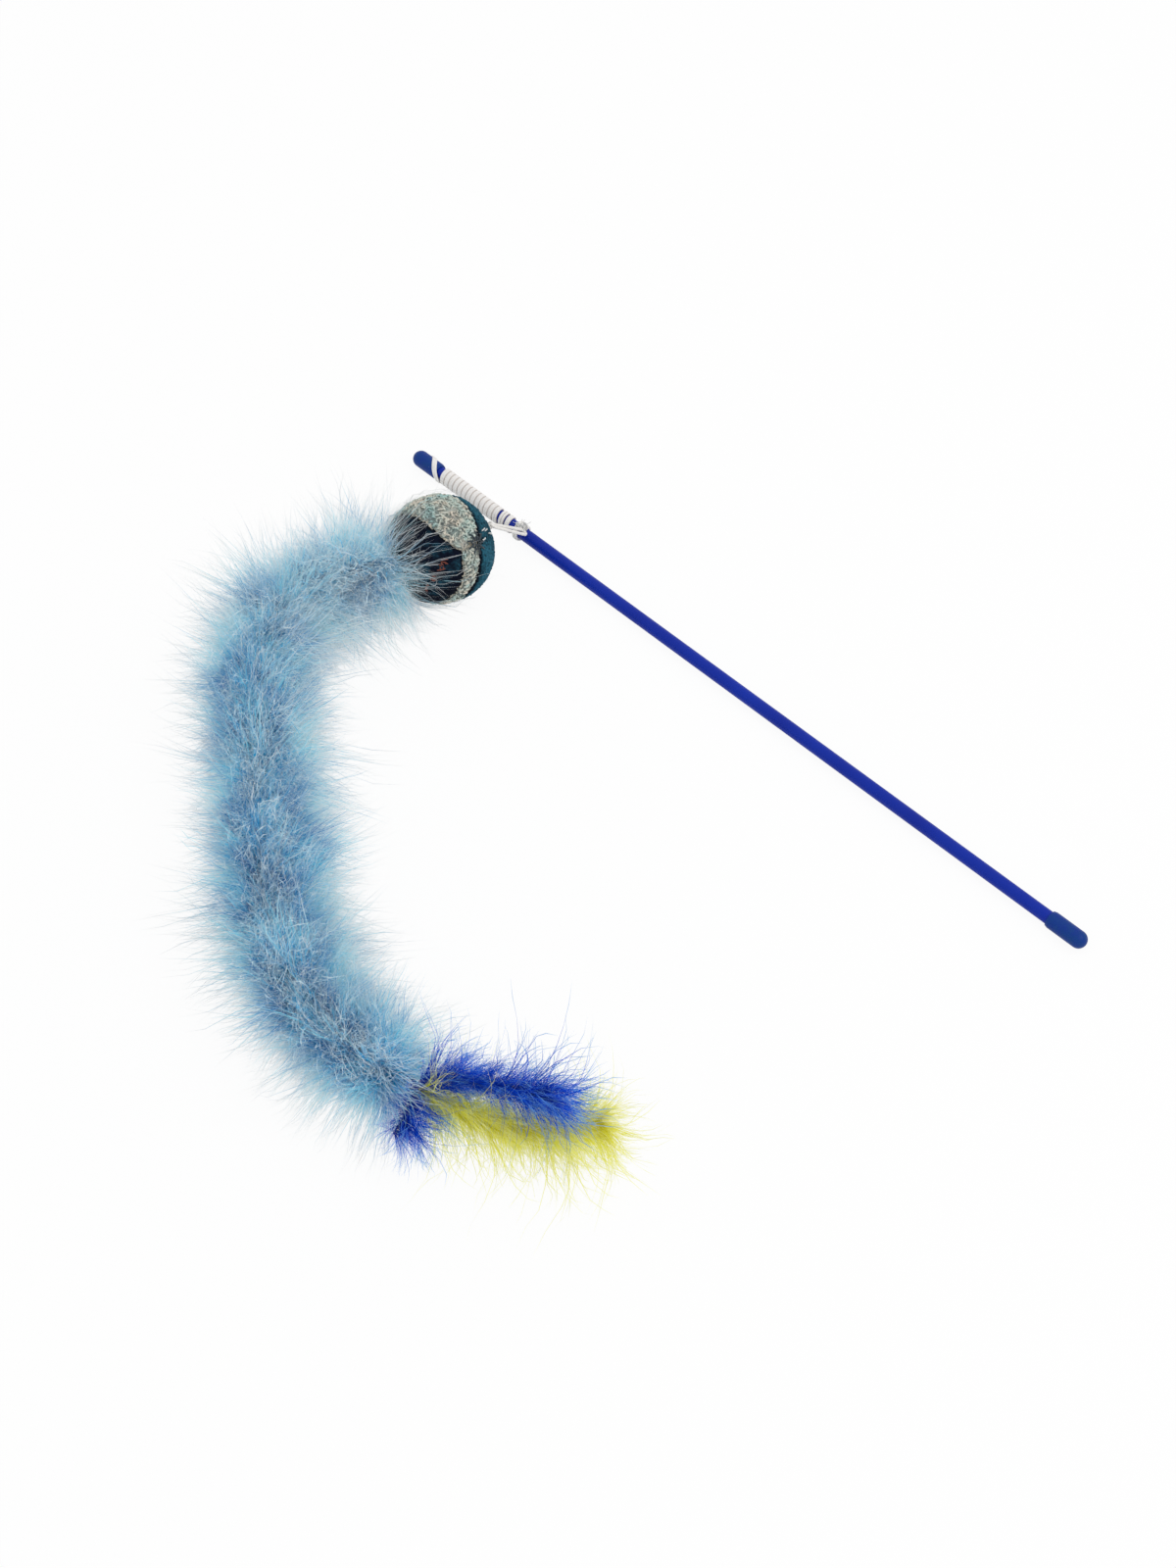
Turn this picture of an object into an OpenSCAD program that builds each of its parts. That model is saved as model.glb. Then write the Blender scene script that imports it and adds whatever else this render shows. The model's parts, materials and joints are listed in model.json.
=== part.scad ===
// Cat teaser wand: a plastic rod with two soft end caps, an elastic cord wound on its tip,
// a patchwork ball threaded on that cord, and a feather boa with a tail of dyed feathers.
// Millimetres. The rod lies along X, the grip end points to +X and the floor is below -Z.

/* [Rod] */
// Diameter of the plastic rod
rod_d = 6; // [5:0.25:8]
// Length of the whole wand over both end caps
wand_l = 400; // [380:5:480]
// Bevel at each end of the rod
rod_bevel = 0.4; // [0.2:0.1:0.8]

/* [End caps] */
// Wall of the soft end caps
cap_wall = 0.9; // [0.7:0.1:1.2]
// Length of the cap on the grip end
cap_l = 19; // [16:0.5:22]
// Length of the cap on the tip, where the winding begins
tip_cap_l = 16.5; // [15:0.5:20]
// Length of the bevelled lip at the mouth of a cap
cap_lip_l = 1.3; // [0.8:0.1:2]
// Height of the bevelled lip at the mouth of a cap
cap_lip_h = 0.35; // [0.2:0.05:0.6]
// Thickness of the closed end on the cap's axis
cap_end_t = 2; // [1.5:0.1:3]
// Clearance between the rod and a cap
cap_clear = 0.03; // [0.02:0.01:0.06]

/* [Elastic winding] */
// Width of the doubled elastic where it lies on the rod
band_w = 2.35; // [2:0.05:2.4]
// Thickness of the doubled elastic where it lies on the rod
band_t = 1.15; // [0.9:0.05:1.4]
// Turns that lie side by side
close_turns = 13; // [8:1:13]
// Distance from one close turn to the next
close_pitch = 2.85; // [2.85:0.05:3]
// Distance from the last close turn to the first spaced turn
gap_pitch = 4.2; // [4:0.1:5]
// Distance from the first spaced turn to the second
spaced_pitch = 3.6; // [3.4:0.1:3.8]
// Length of tip cap that the first turn slants across
slant_l = 9; // [7:0.5:10]
// Radius at which the elastic turns along the rod into the hitch
tuck_r = 1.7; // [1.5:0.1:2]
// Width of the elastic where it runs into the hitch
tuck_w = 1.3; // [1:0.1:1.6]

/* [Hitch and lead] */
// Distance from the wand's tip to the far side of the hitch, where the bare rod begins
hitch_end = 73.2; // [73:0.2:76]
// Distance along the rod from one loop of the hitch to the next
hitch_pitch = 3.2; // [3:0.1:3.6]
// Diameter of the free end that curls from the hitch
curl_d = 1.2; // [1:0.1:1.4]
// Radius of the free end's curl
curl_r = 2; // [1.8:0.1:3]

/* [Ball] */
// Diameter of the patchwork ball
ball_d = 50; // [45:1:56]
// Distance of the ball's centre from the rod's axis, to the side
ball_side = 45.8; // [45:0.2:52]
// Distance of the ball's centre behind the hitch's end, towards the tip
ball_back = 8.8; // [4:0.2:12]
// Thickness of the fabric patches
patch_t = 1.4; // [1:0.1:2]
// Diameter of the cord through the ball
core_cord_d = 2.4; // [2:0.1:3]
// Radial clearance between the cord and the ball's bore
bore_clear = 0.08; // [0.04:0.01:0.1]
// Diameter of the knots that hold the ball
knot_d = 3.8; // [3.6:0.1:4.4]
// Radius of the hole that the patches leave at each of their two poles
pole_hole_r = 1.2; // [1:0.1:2]
// Radius of the hole through the patches at each of the cord's knots
cord_hole_r = 3.2; // [2.8:0.1:4]
// Heading of the patches' upper pole
patch_head = 15.5; // [0:0.5:30]
// Slope of the line through the patches' poles
patch_slope = 37; // [30:1:45]
// Diameter of the gathering thread
thread_d = 0.7; // [0.5:0.1:1]

/* [Boa] */
// Length of one link of the boa's string
link_l = 44.4; // [44:0.2:50]
// Diameter of the boa's string
string_d = 2; // [1.6:0.1:2.2]
// Radius of a whorl of feather barbs
whorl_r = 33; // [28:1:34]
// Whorls on one link
whorls = 4; // [3:1:4]
// Distance from a link's end to its outermost whorl
whorl_end = 9; // [8.5:0.1:10]
// Clearance from one whorl of a link to the next
whorl_gap = 0.3; // [0.2:0.05:0.5]
// Half thickness at the string of the side that faces the link's end
whorl_hub = 4.4; // [3:0.1:4.5]
// Half thickness of a whorl's rim
whorl_rim = 0.5; // [0.3:0.1:0.5]
// Clearance at each end of a link's string
link_gap = 0.45; // [0.4:0.05:0.5]

/* [Tail] */
// Diameter of the binding that ties the tail feathers
binding_d = 5; // [4:0.5:6]
// Length of the binding
binding_l = 9; // [8:0.5:11]
// Diameter of a tail feather's quill
quill_d = 1.4; // [1:0.1:1.6]
// Thickness of a tail feather's vane
vane_t = 1.4; // [1:0.1:1.8]
// Angle between the two layers of a tail feather's vane
vane_spread = 40; // [30:2:44]
// Length of the blue feather
blue_l = 62; // [50:2:74]
// Half width of the blue feather
blue_w = 20; // [15:1:22]
// Length of the yellow feather
yellow_l = 76; // [60:2:90]
// Half width of the yellow feather
yellow_w = 22; // [20:1:25]
// Length of the short blue feather
tuft_l = 36; // [28:2:44]
// Half width of the short blue feather
tuft_w = 11; // [9:1:12]

/* [Hidden] */

$fn = 64;
overrun = 1;
hair = 0.05;

rod_r = rod_d / 2;
cap_r = rod_r + cap_clear + cap_wall;
cap_wall_l = cap_l - cap_lip_l - cap_r;
grip_end_x = cap_wall_l / 2 + cap_r;
tip_end_x = grip_end_x - wand_l;
tip_mouth_x = tip_end_x + tip_cap_l;
floor_z = -cap_r;

// Where each part of the winding starts, counted in turns from its cut end
rings_per_turn = 24;
slant_turns = 0.5;
last_close = close_turns + 0.25;
wind_turns = last_close + 2.5;
first_close_x = tip_mouth_x + band_w / 2 + 0.06 * band_w;
lay_r_rod = rod_r + hair + band_t / 2;
lay_r_cap = cap_r + hair + band_t / 2;
step_share = 0.15;
taper_turns = 1.2;
last_close_x = first_close_x + (last_close - slant_turns) * close_pitch;
first_spaced_x = last_close_x + gap_pitch;
hitch_loops = 1.333;
hitch_x = tip_end_x + hitch_end;
hitch_far_x = hitch_x - band_w - hitch_loops * hitch_pitch;

// The ball stands on the floor, and the cord through it lies level
ball_r = ball_d / 2;
ball_z = floor_z + ball_r;
ball_head = -104;
ball_centre = [hitch_x - ball_back, -ball_side, ball_z];
knot_r = knot_d / 2;
knot_out = ball_r + knot_r + 2 * hair;
near_knot = ball_centre - knot_out * heading(ball_head);
far_knot = ball_centre + knot_out * heading(ball_head);
core_cord_r = core_cord_d / 2;

// Patches round the ball: the angle of each, light and dark by turns
patch_angles = [65, 108, 32, 155];
patch_start = 132;

// The bends that the seven links of the boa lie in, from the ball to the tail
link_turns = [51, 41, 6, 0, 6, 22, 24];
boa_head = -137;
string_r = string_d / 2;
string_clear = 0.3;
shoulder_share = 0.78;
// Radius of each link's whorls as a share of the full radius, from the ball to the tail
plume_shares = [0.94, 1, 1, 1, 1, 0.97, 0.9];
boa_z = ball_z;
tail_root = link_start(len(link_turns));
tail_head = link_head(len(link_turns));
tail_gap = link_gap;

// Each feather's heading off the boa and its slope
blue_lay = [30, 9];
yellow_lay = [13, -11];
tuft_lay = [-80, -26];
// Height of each feather's root above the string, as a share of the binding's diameter
blue_root_share = 0.34;
yellow_root_share = -0.34;
tuft_root_share = 0;
vane_root_share = 0.14;
notch_share = 0.24;
notches = 11;

function heading(a) = [cos(a), sin(a), 0];
function unit(v) = v / norm(v);
function mix(a, b, f) = a + (b - a) * f;
function ease(f) = f <= 0 ? 0 : f >= 1 ? 1 : f * f * (3 - 2 * f);

// A point at distance s along an arc of length l that turns by a, from p in direction h
function arc_point(p, h, l, a, s) =
    a == 0
        ? p + s * heading(h)
        : p + 2 * l / (a * PI / 180) * sin(a * s / l / 2) * heading(h + a * s / l / 2);
function link_head(k) = k == 0 ? boa_head : link_head(k - 1) + link_turns[k - 1];
function link_start(k) =
    k == 0
        ? far_knot
        : arc_point(link_start(k - 1), link_head(k - 1), link_l, link_turns[k - 1], link_l);

// A point on the rod's lay at radius r and angle a, counted from +Y over the top
function on_rod(x, r, a) = [x, r * cos(a), r * sin(a)];
function out_of_rod(a) = [0, cos(a), sin(a)];

// Place along the rod, radius and width of the winding at turn t: it slants off the cap,
// lies close, takes one wide step and runs on in spaced turns that narrow to the tuck
function wind_x(t) =
    t < slant_turns
        ? mix(tip_mouth_x - slant_l, first_close_x, t / slant_turns)
        : t < last_close
            ? first_close_x + (t - slant_turns) * close_pitch
            : t < last_close + 1
                ? mix(last_close_x, first_spaced_x, t - last_close)
                : first_spaced_x + (t - last_close - 1) * spaced_pitch;
function wind_r(t) = mix(lay_r_cap, lay_r_rod, ease((t - slant_turns) / step_share));
function wind_w(t) = mix(band_w, tuck_w, ease((t - wind_turns + taper_turns) / taper_turns));

// The winding: its helix, then the quarter bend and the straight end that tucks into the hitch
wind_steps = round(wind_turns * rings_per_turn);
bend_steps = 5;
tuck_bend = [
    for (i = [1:bend_steps])
        let (b = 90 * i / bend_steps, x = wind_x(wind_turns) + tuck_r * (1 - cos(b)),
             a = wind_turns * 360 + tuck_r * sin(b) / lay_r_rod * 180 / PI)
        [on_rod(x, lay_r_rod, a), out_of_rod(a), tuck_w]
];
tuck_a = wind_turns * 360 + tuck_r / lay_r_rod * 180 / PI;
winding_lay = concat(
    [for (i = [0:wind_steps])
        let (t = i / rings_per_turn)
        [on_rod(wind_x(t), wind_r(t), t * 360), out_of_rod(t * 360), wind_w(t)]],
    tuck_bend,
    [[on_rod(hitch_far_x - hair, lay_r_rod, tuck_a), out_of_rod(tuck_a), tuck_w]]
);

// The hitch: loops on the rod, then the lead that leaves them for the knot at the ball
knot_a = atan2(near_knot[2], near_knot[1]);
knot_reach = norm([near_knot[1], near_knot[2]]);
leave_a = knot_a - acos(lay_r_rod / knot_reach);
hitch_steps = round(hitch_loops * rings_per_turn);
leave_x = hitch_x - band_w / 2;
leave_point = on_rod(leave_x, lay_r_rod, leave_a);
lead_way = unit(near_knot - leave_point);
lead_end = near_knot - (knot_r + hair) * lead_way;
lead_steps = 6;
lead_w = 2.2;
hitch_lay = concat(
    [for (i = [0:hitch_steps])
        let (f = i / hitch_steps, a = leave_a - hitch_loops * 360 * (1 - f))
        [on_rod(leave_x - hitch_pitch * hitch_loops * (1 - f), lay_r_rod, a), out_of_rod(a), band_w]],
    [for (i = [1:lead_steps])
        let (f = i / lead_steps)
        [mix(leave_point, lead_end, f), out_of_rod(leave_a), mix(band_w, lead_w, f)]]
);

// One ring of six points round a lay's point, as wide as the band and as thick
sides = 6;
function lay_way(lay, i) =
    unit(lay[min(i + 1, len(lay) - 1)][0] - lay[max(i - 1, 0)][0]);
function ring(lay, i) =
    let (way = lay_way(lay, i), side = unit(cross(way, lay[i][1])), up = cross(side, way))
    [for (k = [0:sides - 1])
        lay[i][0] + side * lay[i][2] / 2 * cos(k * 360 / sides)
            + up * band_t / 2 / cos(180 / sides) * sin(k * 360 / sides)];

// Sweeps the band along a lay, as one closed tube of triangles
module band(lay) {
    count = len(lay);
    rings = [for (i = [0:count - 1]) each ring(lay, i)];
    walls = [
        for (i = [0:count - 2], k = [0:sides - 1])
            let (a = i * sides + k, b = i * sides + (k + 1) % sides)
            each [[a, a + sides, b + sides], [a, b + sides, b]]
    ];
    start_face = [for (k = [1:sides - 2]) [0, k, k + 1]];
    last = (count - 1) * sides;
    end_face = [for (k = [1:sides - 2]) [last, last + k + 1, last + k]];
    polyhedron(points = rings, faces = concat(walls, start_face, end_face));
}

// The least distance between corners of rings that lie about one turn apart
function least_gap(lay, from, to) =
    let (corners = [for (i = [0:len(lay) - 1]) ring(lay, i)])
    min([
        for (i = [0:len(lay) - 1 - from])
            for (j = [i + from:min(i + to, len(lay) - 1)])
                for (p = corners[i], q = corners[j]) norm(p - q)
    ]);

module along_x() {
    rotate([0, 90, 0]) children();
}

// Puts a shape that points along Z on the ball's axis, at the ball's centre
module on_ball() {
    translate(ball_centre) rotate([0, 90, ball_head]) children();
}

// Puts a shape that points along Z on the line through the patches' poles
module on_patches() {
    translate(ball_centre) rotate([0, 90 - patch_slope, patch_head]) children();
}

// Puts a shape at distance s along link k, facing along the string
module on_link(k, s) {
    turned = link_head(k) + link_turns[k] * s / link_l;
    translate(arc_point(link_start(k), link_head(k), link_l, link_turns[k], s))
        rotate([0, 0, turned]) children();
}

module above_floor() {
    difference() {
        children();
        translate([-whorl_r * 2, -whorl_r * 2, floor_z - boa_z - whorl_r * 2])
            cube([whorl_r * 4, whorl_r * 4, whorl_r * 2]);
    }
}

// Rod and end caps

module rod() {
    rod_l = wand_l - 2 * (cap_end_t + cap_clear);
    color("#1a2b94")
        translate([tip_end_x + cap_end_t + cap_clear, 0, 0]) along_x() {
            cylinder(h = rod_bevel, r1 = rod_r - rod_bevel, r2 = rod_r);
            translate([0, 0, rod_bevel]) cylinder(h = rod_l - 2 * rod_bevel, r = rod_r);
            translate([0, 0, rod_l - rod_bevel])
                cylinder(h = rod_bevel, r1 = rod_r, r2 = rod_r - rod_bevel);
        }
}

// A soft cap of length l with its mouth at the origin and its domed end towards +Z
module cap(l) {
    rotate_extrude() difference() {
        intersection() {
            union() {
                square([cap_r, l - cap_r]);
                translate([0, l - cap_r]) circle(r = cap_r);
            }
            square([cap_r, l]);
        }
        translate([-overrun, -overrun])
            square([rod_r + cap_clear + overrun, l - cap_end_t + overrun]);
        polygon([[cap_r - cap_lip_h, 0], [cap_r, cap_lip_l], [cap_r + overrun, cap_lip_l],
                 [cap_r + overrun, -overrun], [cap_r - cap_lip_h, -overrun]]);
    }
}

module grip_cap() {
    color("#22407f") translate([grip_end_x - cap_l, 0, 0]) along_x() cap(cap_l);
}

module tip_cap() {
    color("#16386f") translate([tip_mouth_x, 0, 0]) mirror([1, 0, 0]) along_x() cap(tip_cap_l);
}

// Elastic cord

module elastic_winding() {
    echo(least_gap_of_winding = least_gap(winding_lay, rings_per_turn / 2, rings_per_turn * 1.5));
    color("#e8e4de") band(winding_lay);
}

module elastic_hitch() {
    echo(least_gap_of_hitch = least_gap(hitch_lay, rings_per_turn / 2, rings_per_turn * 1.5));
    color("#e8e4de") band(hitch_lay);
}

// The free end of the hitch's knot, which curls away from the ball
module hitch_curl() {
    curl_x = leave_x - hitch_pitch;
    curl_y = lay_r_rod + band_t / 2 + hair * 2 + curl_d / 2;
    color("#f2efea")
        translate([curl_x, curl_y + curl_r, curl_d]) rotate([0, 0, -90])
            rotate_extrude(angle = 230) translate([curl_r, 0]) circle(d = curl_d);
}

// Ball

module core_cord() {
    color("#e8e4de") on_ball() {
        cylinder(h = 2 * knot_out, r = core_cord_r, center = true);
        for (end = [-1, 1])
            translate([0, 0, end * knot_out]) sphere(r = knot_r);
    }
}

module ball_core() {
    color("#d8d2c4") on_ball() difference() {
        sphere(r = ball_r - patch_t - 2 * hair);
        cylinder(h = ball_d + overrun, r = core_cord_r + bore_clear, center = true);
    }
}

// One patch of the cover, which runs from pole to pole
module patch(start, angle) {
    rotate([0, 0, start]) rotate_extrude(angle = angle) intersection() {
        difference() {
            circle(r = ball_r);
            circle(r = ball_r - patch_t);
        }
        translate([pole_hole_r, -ball_r]) square([ball_r, ball_d]);
    }
}

function patch_from(i) = i == 0 ? patch_start : patch_from(i - 1) + patch_angles[i - 1];

module patches(first) {
    difference() {
        on_patches() for (i = [first:2:len(patch_angles) - 1])
            patch(patch_from(i), patch_angles[i]);
        on_ball() cylinder(h = ball_d + overrun, r = cord_hole_r, center = true);
    }
}

module ball_patch_light() {
    color("#b9b7a6") patches(0);
}

module ball_patch_dark() {
    color("#16303f") patches(1);
}

// A ring of thread round each pole gathers the ends of the patches
module gather_thread() {
    thread_r = thread_d / 2;
    ring_r = pole_hole_r + 2 * thread_d;
    ring_out = sqrt(pow(ball_r + thread_r + hair, 2) - pow(ring_r, 2));
    color("#2a3a44") on_patches() for (end = [-1, 1])
        translate([0, 0, end * ring_out])
            rotate_extrude() translate([ring_r, 0]) circle(r = thread_r);
}

// Boa

// A link's string, clear of the knot or the link before it
module boa_string(k) {
    from = k == 0 ? knot_r + hair : link_gap;
    to = link_l - link_gap;
    turn = link_turns[k];
    color("#7fb4d6")
        translate(link_start(k)) rotate([0, 0, link_head(k)])
            if (turn == 0) {
                translate([from, 0, 0]) along_x() cylinder(h = to - from, r = string_r);
            } else {
                bend_r = link_l / (turn * PI / 180);
                translate([0, bend_r, 0]) rotate([0, 0, -90 + turn * from / link_l])
                    rotate_extrude(angle = turn * (to - from) / link_l)
                        translate([bend_r, 0]) circle(r = string_r);
            }
}

whorl_step = (link_l - 2 * whorl_end) / (whorls - 1);

// Half thickness of link k's whorls at radius r: up to the next whorl on the bend's inside,
// and on a link's last side a slope that leaves the joint room to bend
function whorl_side(k, r, last) =
    last
        ? mix(whorl_hub, whorl_rim, r / (whorl_r * plume_shares[k]))
        : whorl_step / 2 * (1 - r * link_turns[k] * PI / 180 / link_l) - whorl_gap / 2;

// One whorl of barbs: thick at the string, with a shoulder and a thin rim
module whorl(k, first, last) {
    hole_r = string_r + string_clear;
    r = whorl_r * plume_shares[k];
    shoulder_r = r * shoulder_share;
    along_x() rotate_extrude()
        polygon([[hole_r, -whorl_side(k, hole_r, first)],
                 [shoulder_r, -whorl_side(k, shoulder_r, first)],
                 [r, -whorl_rim], [r, whorl_rim],
                 [shoulder_r, whorl_side(k, shoulder_r, last)],
                 [hole_r, whorl_side(k, hole_r, last)]]);
}

module boa_plume(k) {
    color("#a9cfe4") for (i = [0:whorls - 1])
        on_link(k, whorl_end + i * whorl_step) above_floor()
            whorl(k, i == 0, i == whorls - 1);
}

// Tail

module on_tail() {
    translate(tail_root) rotate([0, 0, tail_head]) children();
}

// Puts a feather that points along X at the end of the binding, where its root just clears it
module on_binding(lay, root_share) {
    lean = acos(cos(lay[0]) * cos(lay[1]));
    ahead = tail_gap + binding_l + hair + quill_d / 2 * sin(lean);
    on_tail() translate([ahead, 0, root_share * binding_d])
        rotate([0, -lay[1], lay[0]]) children();
}

module tail_binding() {
    edge = binding_d / 8;
    color("#27508c") on_tail() translate([tail_gap, 0, 0]) along_x() {
        cylinder(h = edge, r1 = binding_d / 2 - edge, r2 = binding_d / 2);
        translate([0, 0, edge]) cylinder(h = binding_l - 2 * edge, r = binding_d / 2);
        translate([0, 0, binding_l - edge])
            cylinder(h = edge, r1 = binding_d / 2, r2 = binding_d / 2 - edge);
    }
}

module quill(l) {
    along_x() cylinder(h = l, r1 = quill_d / 2, r2 = quill_d / 4);
}

// Half width of a vane at share f of its length
function vane_width(w, f) = w * pow(sin(180 * pow(f, 0.8)), 0.6);

// The outline of one side of a vane, notched where its barbs part
module vane_side(l, w) {
    root = l * vane_root_share;
    edge = [
        for (i = [0:2 * notches])
            let (f = i / (2 * notches), cut = i % 2 == 0 ? 1 : 1 - notch_share)
            [root + (l - root) * f, quill_d / 2 + hair + vane_width(w, f) * cut]
    ];
    polygon(concat([[root, quill_d / 2 + hair]], edge, [[l, quill_d / 2 + hair]]));
}

// Two layers on each side of the quill, spread like the barbs of a fluffy feather
module vane(l, w) {
    for (side = [0, 1]) mirror([0, side, 0])
        for (roll = [-vane_spread / 2, vane_spread / 2])
            rotate([roll, 0, 0])
                translate([0, 0, -vane_t / 2]) linear_extrude(vane_t) vane_side(l, w);
}

module blue_quill() {
    color("#1b3a8e") on_binding(blue_lay, blue_root_share) quill(blue_l);
}

module blue_vane() {
    color("#0b3bb4") on_binding(blue_lay, blue_root_share) vane(blue_l, blue_w);
}

module yellow_quill() {
    color("#8c8a2a") on_binding(yellow_lay, yellow_root_share) quill(yellow_l);
}

module yellow_vane() {
    color("#c9c652") on_binding(yellow_lay, yellow_root_share) vane(yellow_l, yellow_w);
}

module tuft_quill() {
    color("#1b3a8e") on_binding(tuft_lay, tuft_root_share) quill(tuft_l);
}

module tuft_vane() {
    color("#1a49b8") on_binding(tuft_lay, tuft_root_share) vane(tuft_l, tuft_w);
}

rod();
grip_cap();
tip_cap();
elastic_winding();
elastic_hitch();
hitch_curl();
core_cord();
ball_core();
ball_patch_light();
ball_patch_dark();
gather_thread();
boa_string(0);  // boa_string_1
boa_string(1);  // boa_string_2
boa_string(2);  // boa_string_3
boa_string(3);  // boa_string_4
boa_string(4);  // boa_string_5
boa_string(5);  // boa_string_6
boa_string(6);  // boa_string_7
boa_plume(0);  // boa_plume_1
boa_plume(1);  // boa_plume_2
boa_plume(2);  // boa_plume_3
boa_plume(3);  // boa_plume_4
boa_plume(4);  // boa_plume_5
boa_plume(5);  // boa_plume_6
boa_plume(6);  // boa_plume_7
tail_binding();
blue_quill();
blue_vane();
yellow_quill();
yellow_vane();
tuft_quill();
tuft_vane();
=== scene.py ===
"""Looks of a cat teaser wand: rod, soft caps, elastic cord, patchwork ball, feather boa and tail.

Everything is in metres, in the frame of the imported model: the rod lies along X with the grip
end at 0 and the tip to -X, the ball and the boa lie on the -Y side, and the floor is at the
lowest point of the solids.
"""
from __future__ import annotations

import json
import logging
import math
from dataclasses import dataclass, field
from enum import Enum

import bpy
import numpy as np
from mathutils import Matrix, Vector

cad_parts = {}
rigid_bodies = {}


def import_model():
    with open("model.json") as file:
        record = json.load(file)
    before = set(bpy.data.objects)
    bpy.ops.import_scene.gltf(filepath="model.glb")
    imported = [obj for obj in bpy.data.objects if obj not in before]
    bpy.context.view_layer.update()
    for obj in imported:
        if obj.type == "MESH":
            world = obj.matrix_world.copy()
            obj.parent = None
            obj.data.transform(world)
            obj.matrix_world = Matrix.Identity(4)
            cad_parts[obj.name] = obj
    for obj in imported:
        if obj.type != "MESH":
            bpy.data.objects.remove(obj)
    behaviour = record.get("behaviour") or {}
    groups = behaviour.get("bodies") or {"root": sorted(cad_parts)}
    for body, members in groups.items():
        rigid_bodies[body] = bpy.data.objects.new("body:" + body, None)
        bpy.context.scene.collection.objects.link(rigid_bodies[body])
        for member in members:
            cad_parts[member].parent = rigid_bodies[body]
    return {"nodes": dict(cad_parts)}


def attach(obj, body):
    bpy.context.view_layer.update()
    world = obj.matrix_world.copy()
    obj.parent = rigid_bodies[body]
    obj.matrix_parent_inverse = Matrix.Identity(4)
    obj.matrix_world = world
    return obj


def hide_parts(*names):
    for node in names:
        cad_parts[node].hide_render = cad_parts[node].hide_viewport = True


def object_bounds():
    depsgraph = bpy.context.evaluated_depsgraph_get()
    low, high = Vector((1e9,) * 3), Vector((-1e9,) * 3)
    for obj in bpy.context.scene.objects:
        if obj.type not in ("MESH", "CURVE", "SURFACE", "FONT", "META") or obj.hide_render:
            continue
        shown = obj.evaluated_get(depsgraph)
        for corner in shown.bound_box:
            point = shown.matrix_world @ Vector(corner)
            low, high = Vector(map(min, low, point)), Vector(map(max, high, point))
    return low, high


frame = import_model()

LOG = logging.getLogger("wand")
CAD_LOW, CAD_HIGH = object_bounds()

MM = 0.001
DEGREE = math.pi / 180.0
HAIR = 0.05 * MM
UP = np.array([0.0, 0.0, 1.0])
SEED_LIMIT = 99
Pair = tuple[float, float]
Triple = tuple[float, float, float]
Row = tuple[float, ...]
Station = tuple[np.ndarray, np.ndarray, float]
Lay = list[Station]
Colour = Triple
Inputs = dict[str | int, object]
Socket = bpy.types.NodeSocket
Material = bpy.types.Material
Mesh = bpy.types.Mesh
Piece = bpy.types.Object


def srgb(red: int, green: int, blue: int) -> Colour:
    """Turns a colour of the picture, 0 to 255 a channel, into linear values.

    Args:
        red: The red channel.
        green: The green channel.
        blue: The blue channel.

    Returns:
        The linear colour.
    """
    linear = []
    for channel in (red, green, blue):
        share = channel / 255.0
        linear.append(share / 12.92 if share <= 0.04045 else ((share + 0.055) / 1.055) ** 2.4)
    return (linear[0], linear[1], linear[2])


def heading(degrees: float) -> np.ndarray:
    """Returns the level unit vector at an angle from +X towards +Y."""
    return np.array([math.cos(degrees * DEGREE), math.sin(degrees * DEGREE), 0.0])


def unit(vector: np.ndarray) -> np.ndarray:
    """Returns a vector, or each row of an array, at length one."""
    return vector / np.linalg.norm(vector, axis=-1, keepdims=True)


def ease(share: float) -> float:
    """Returns a smooth step from 0 to 1."""
    held = min(max(share, 0.0), 1.0)
    return held * held * (3.0 - 2.0 * held)


# Node trees


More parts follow.
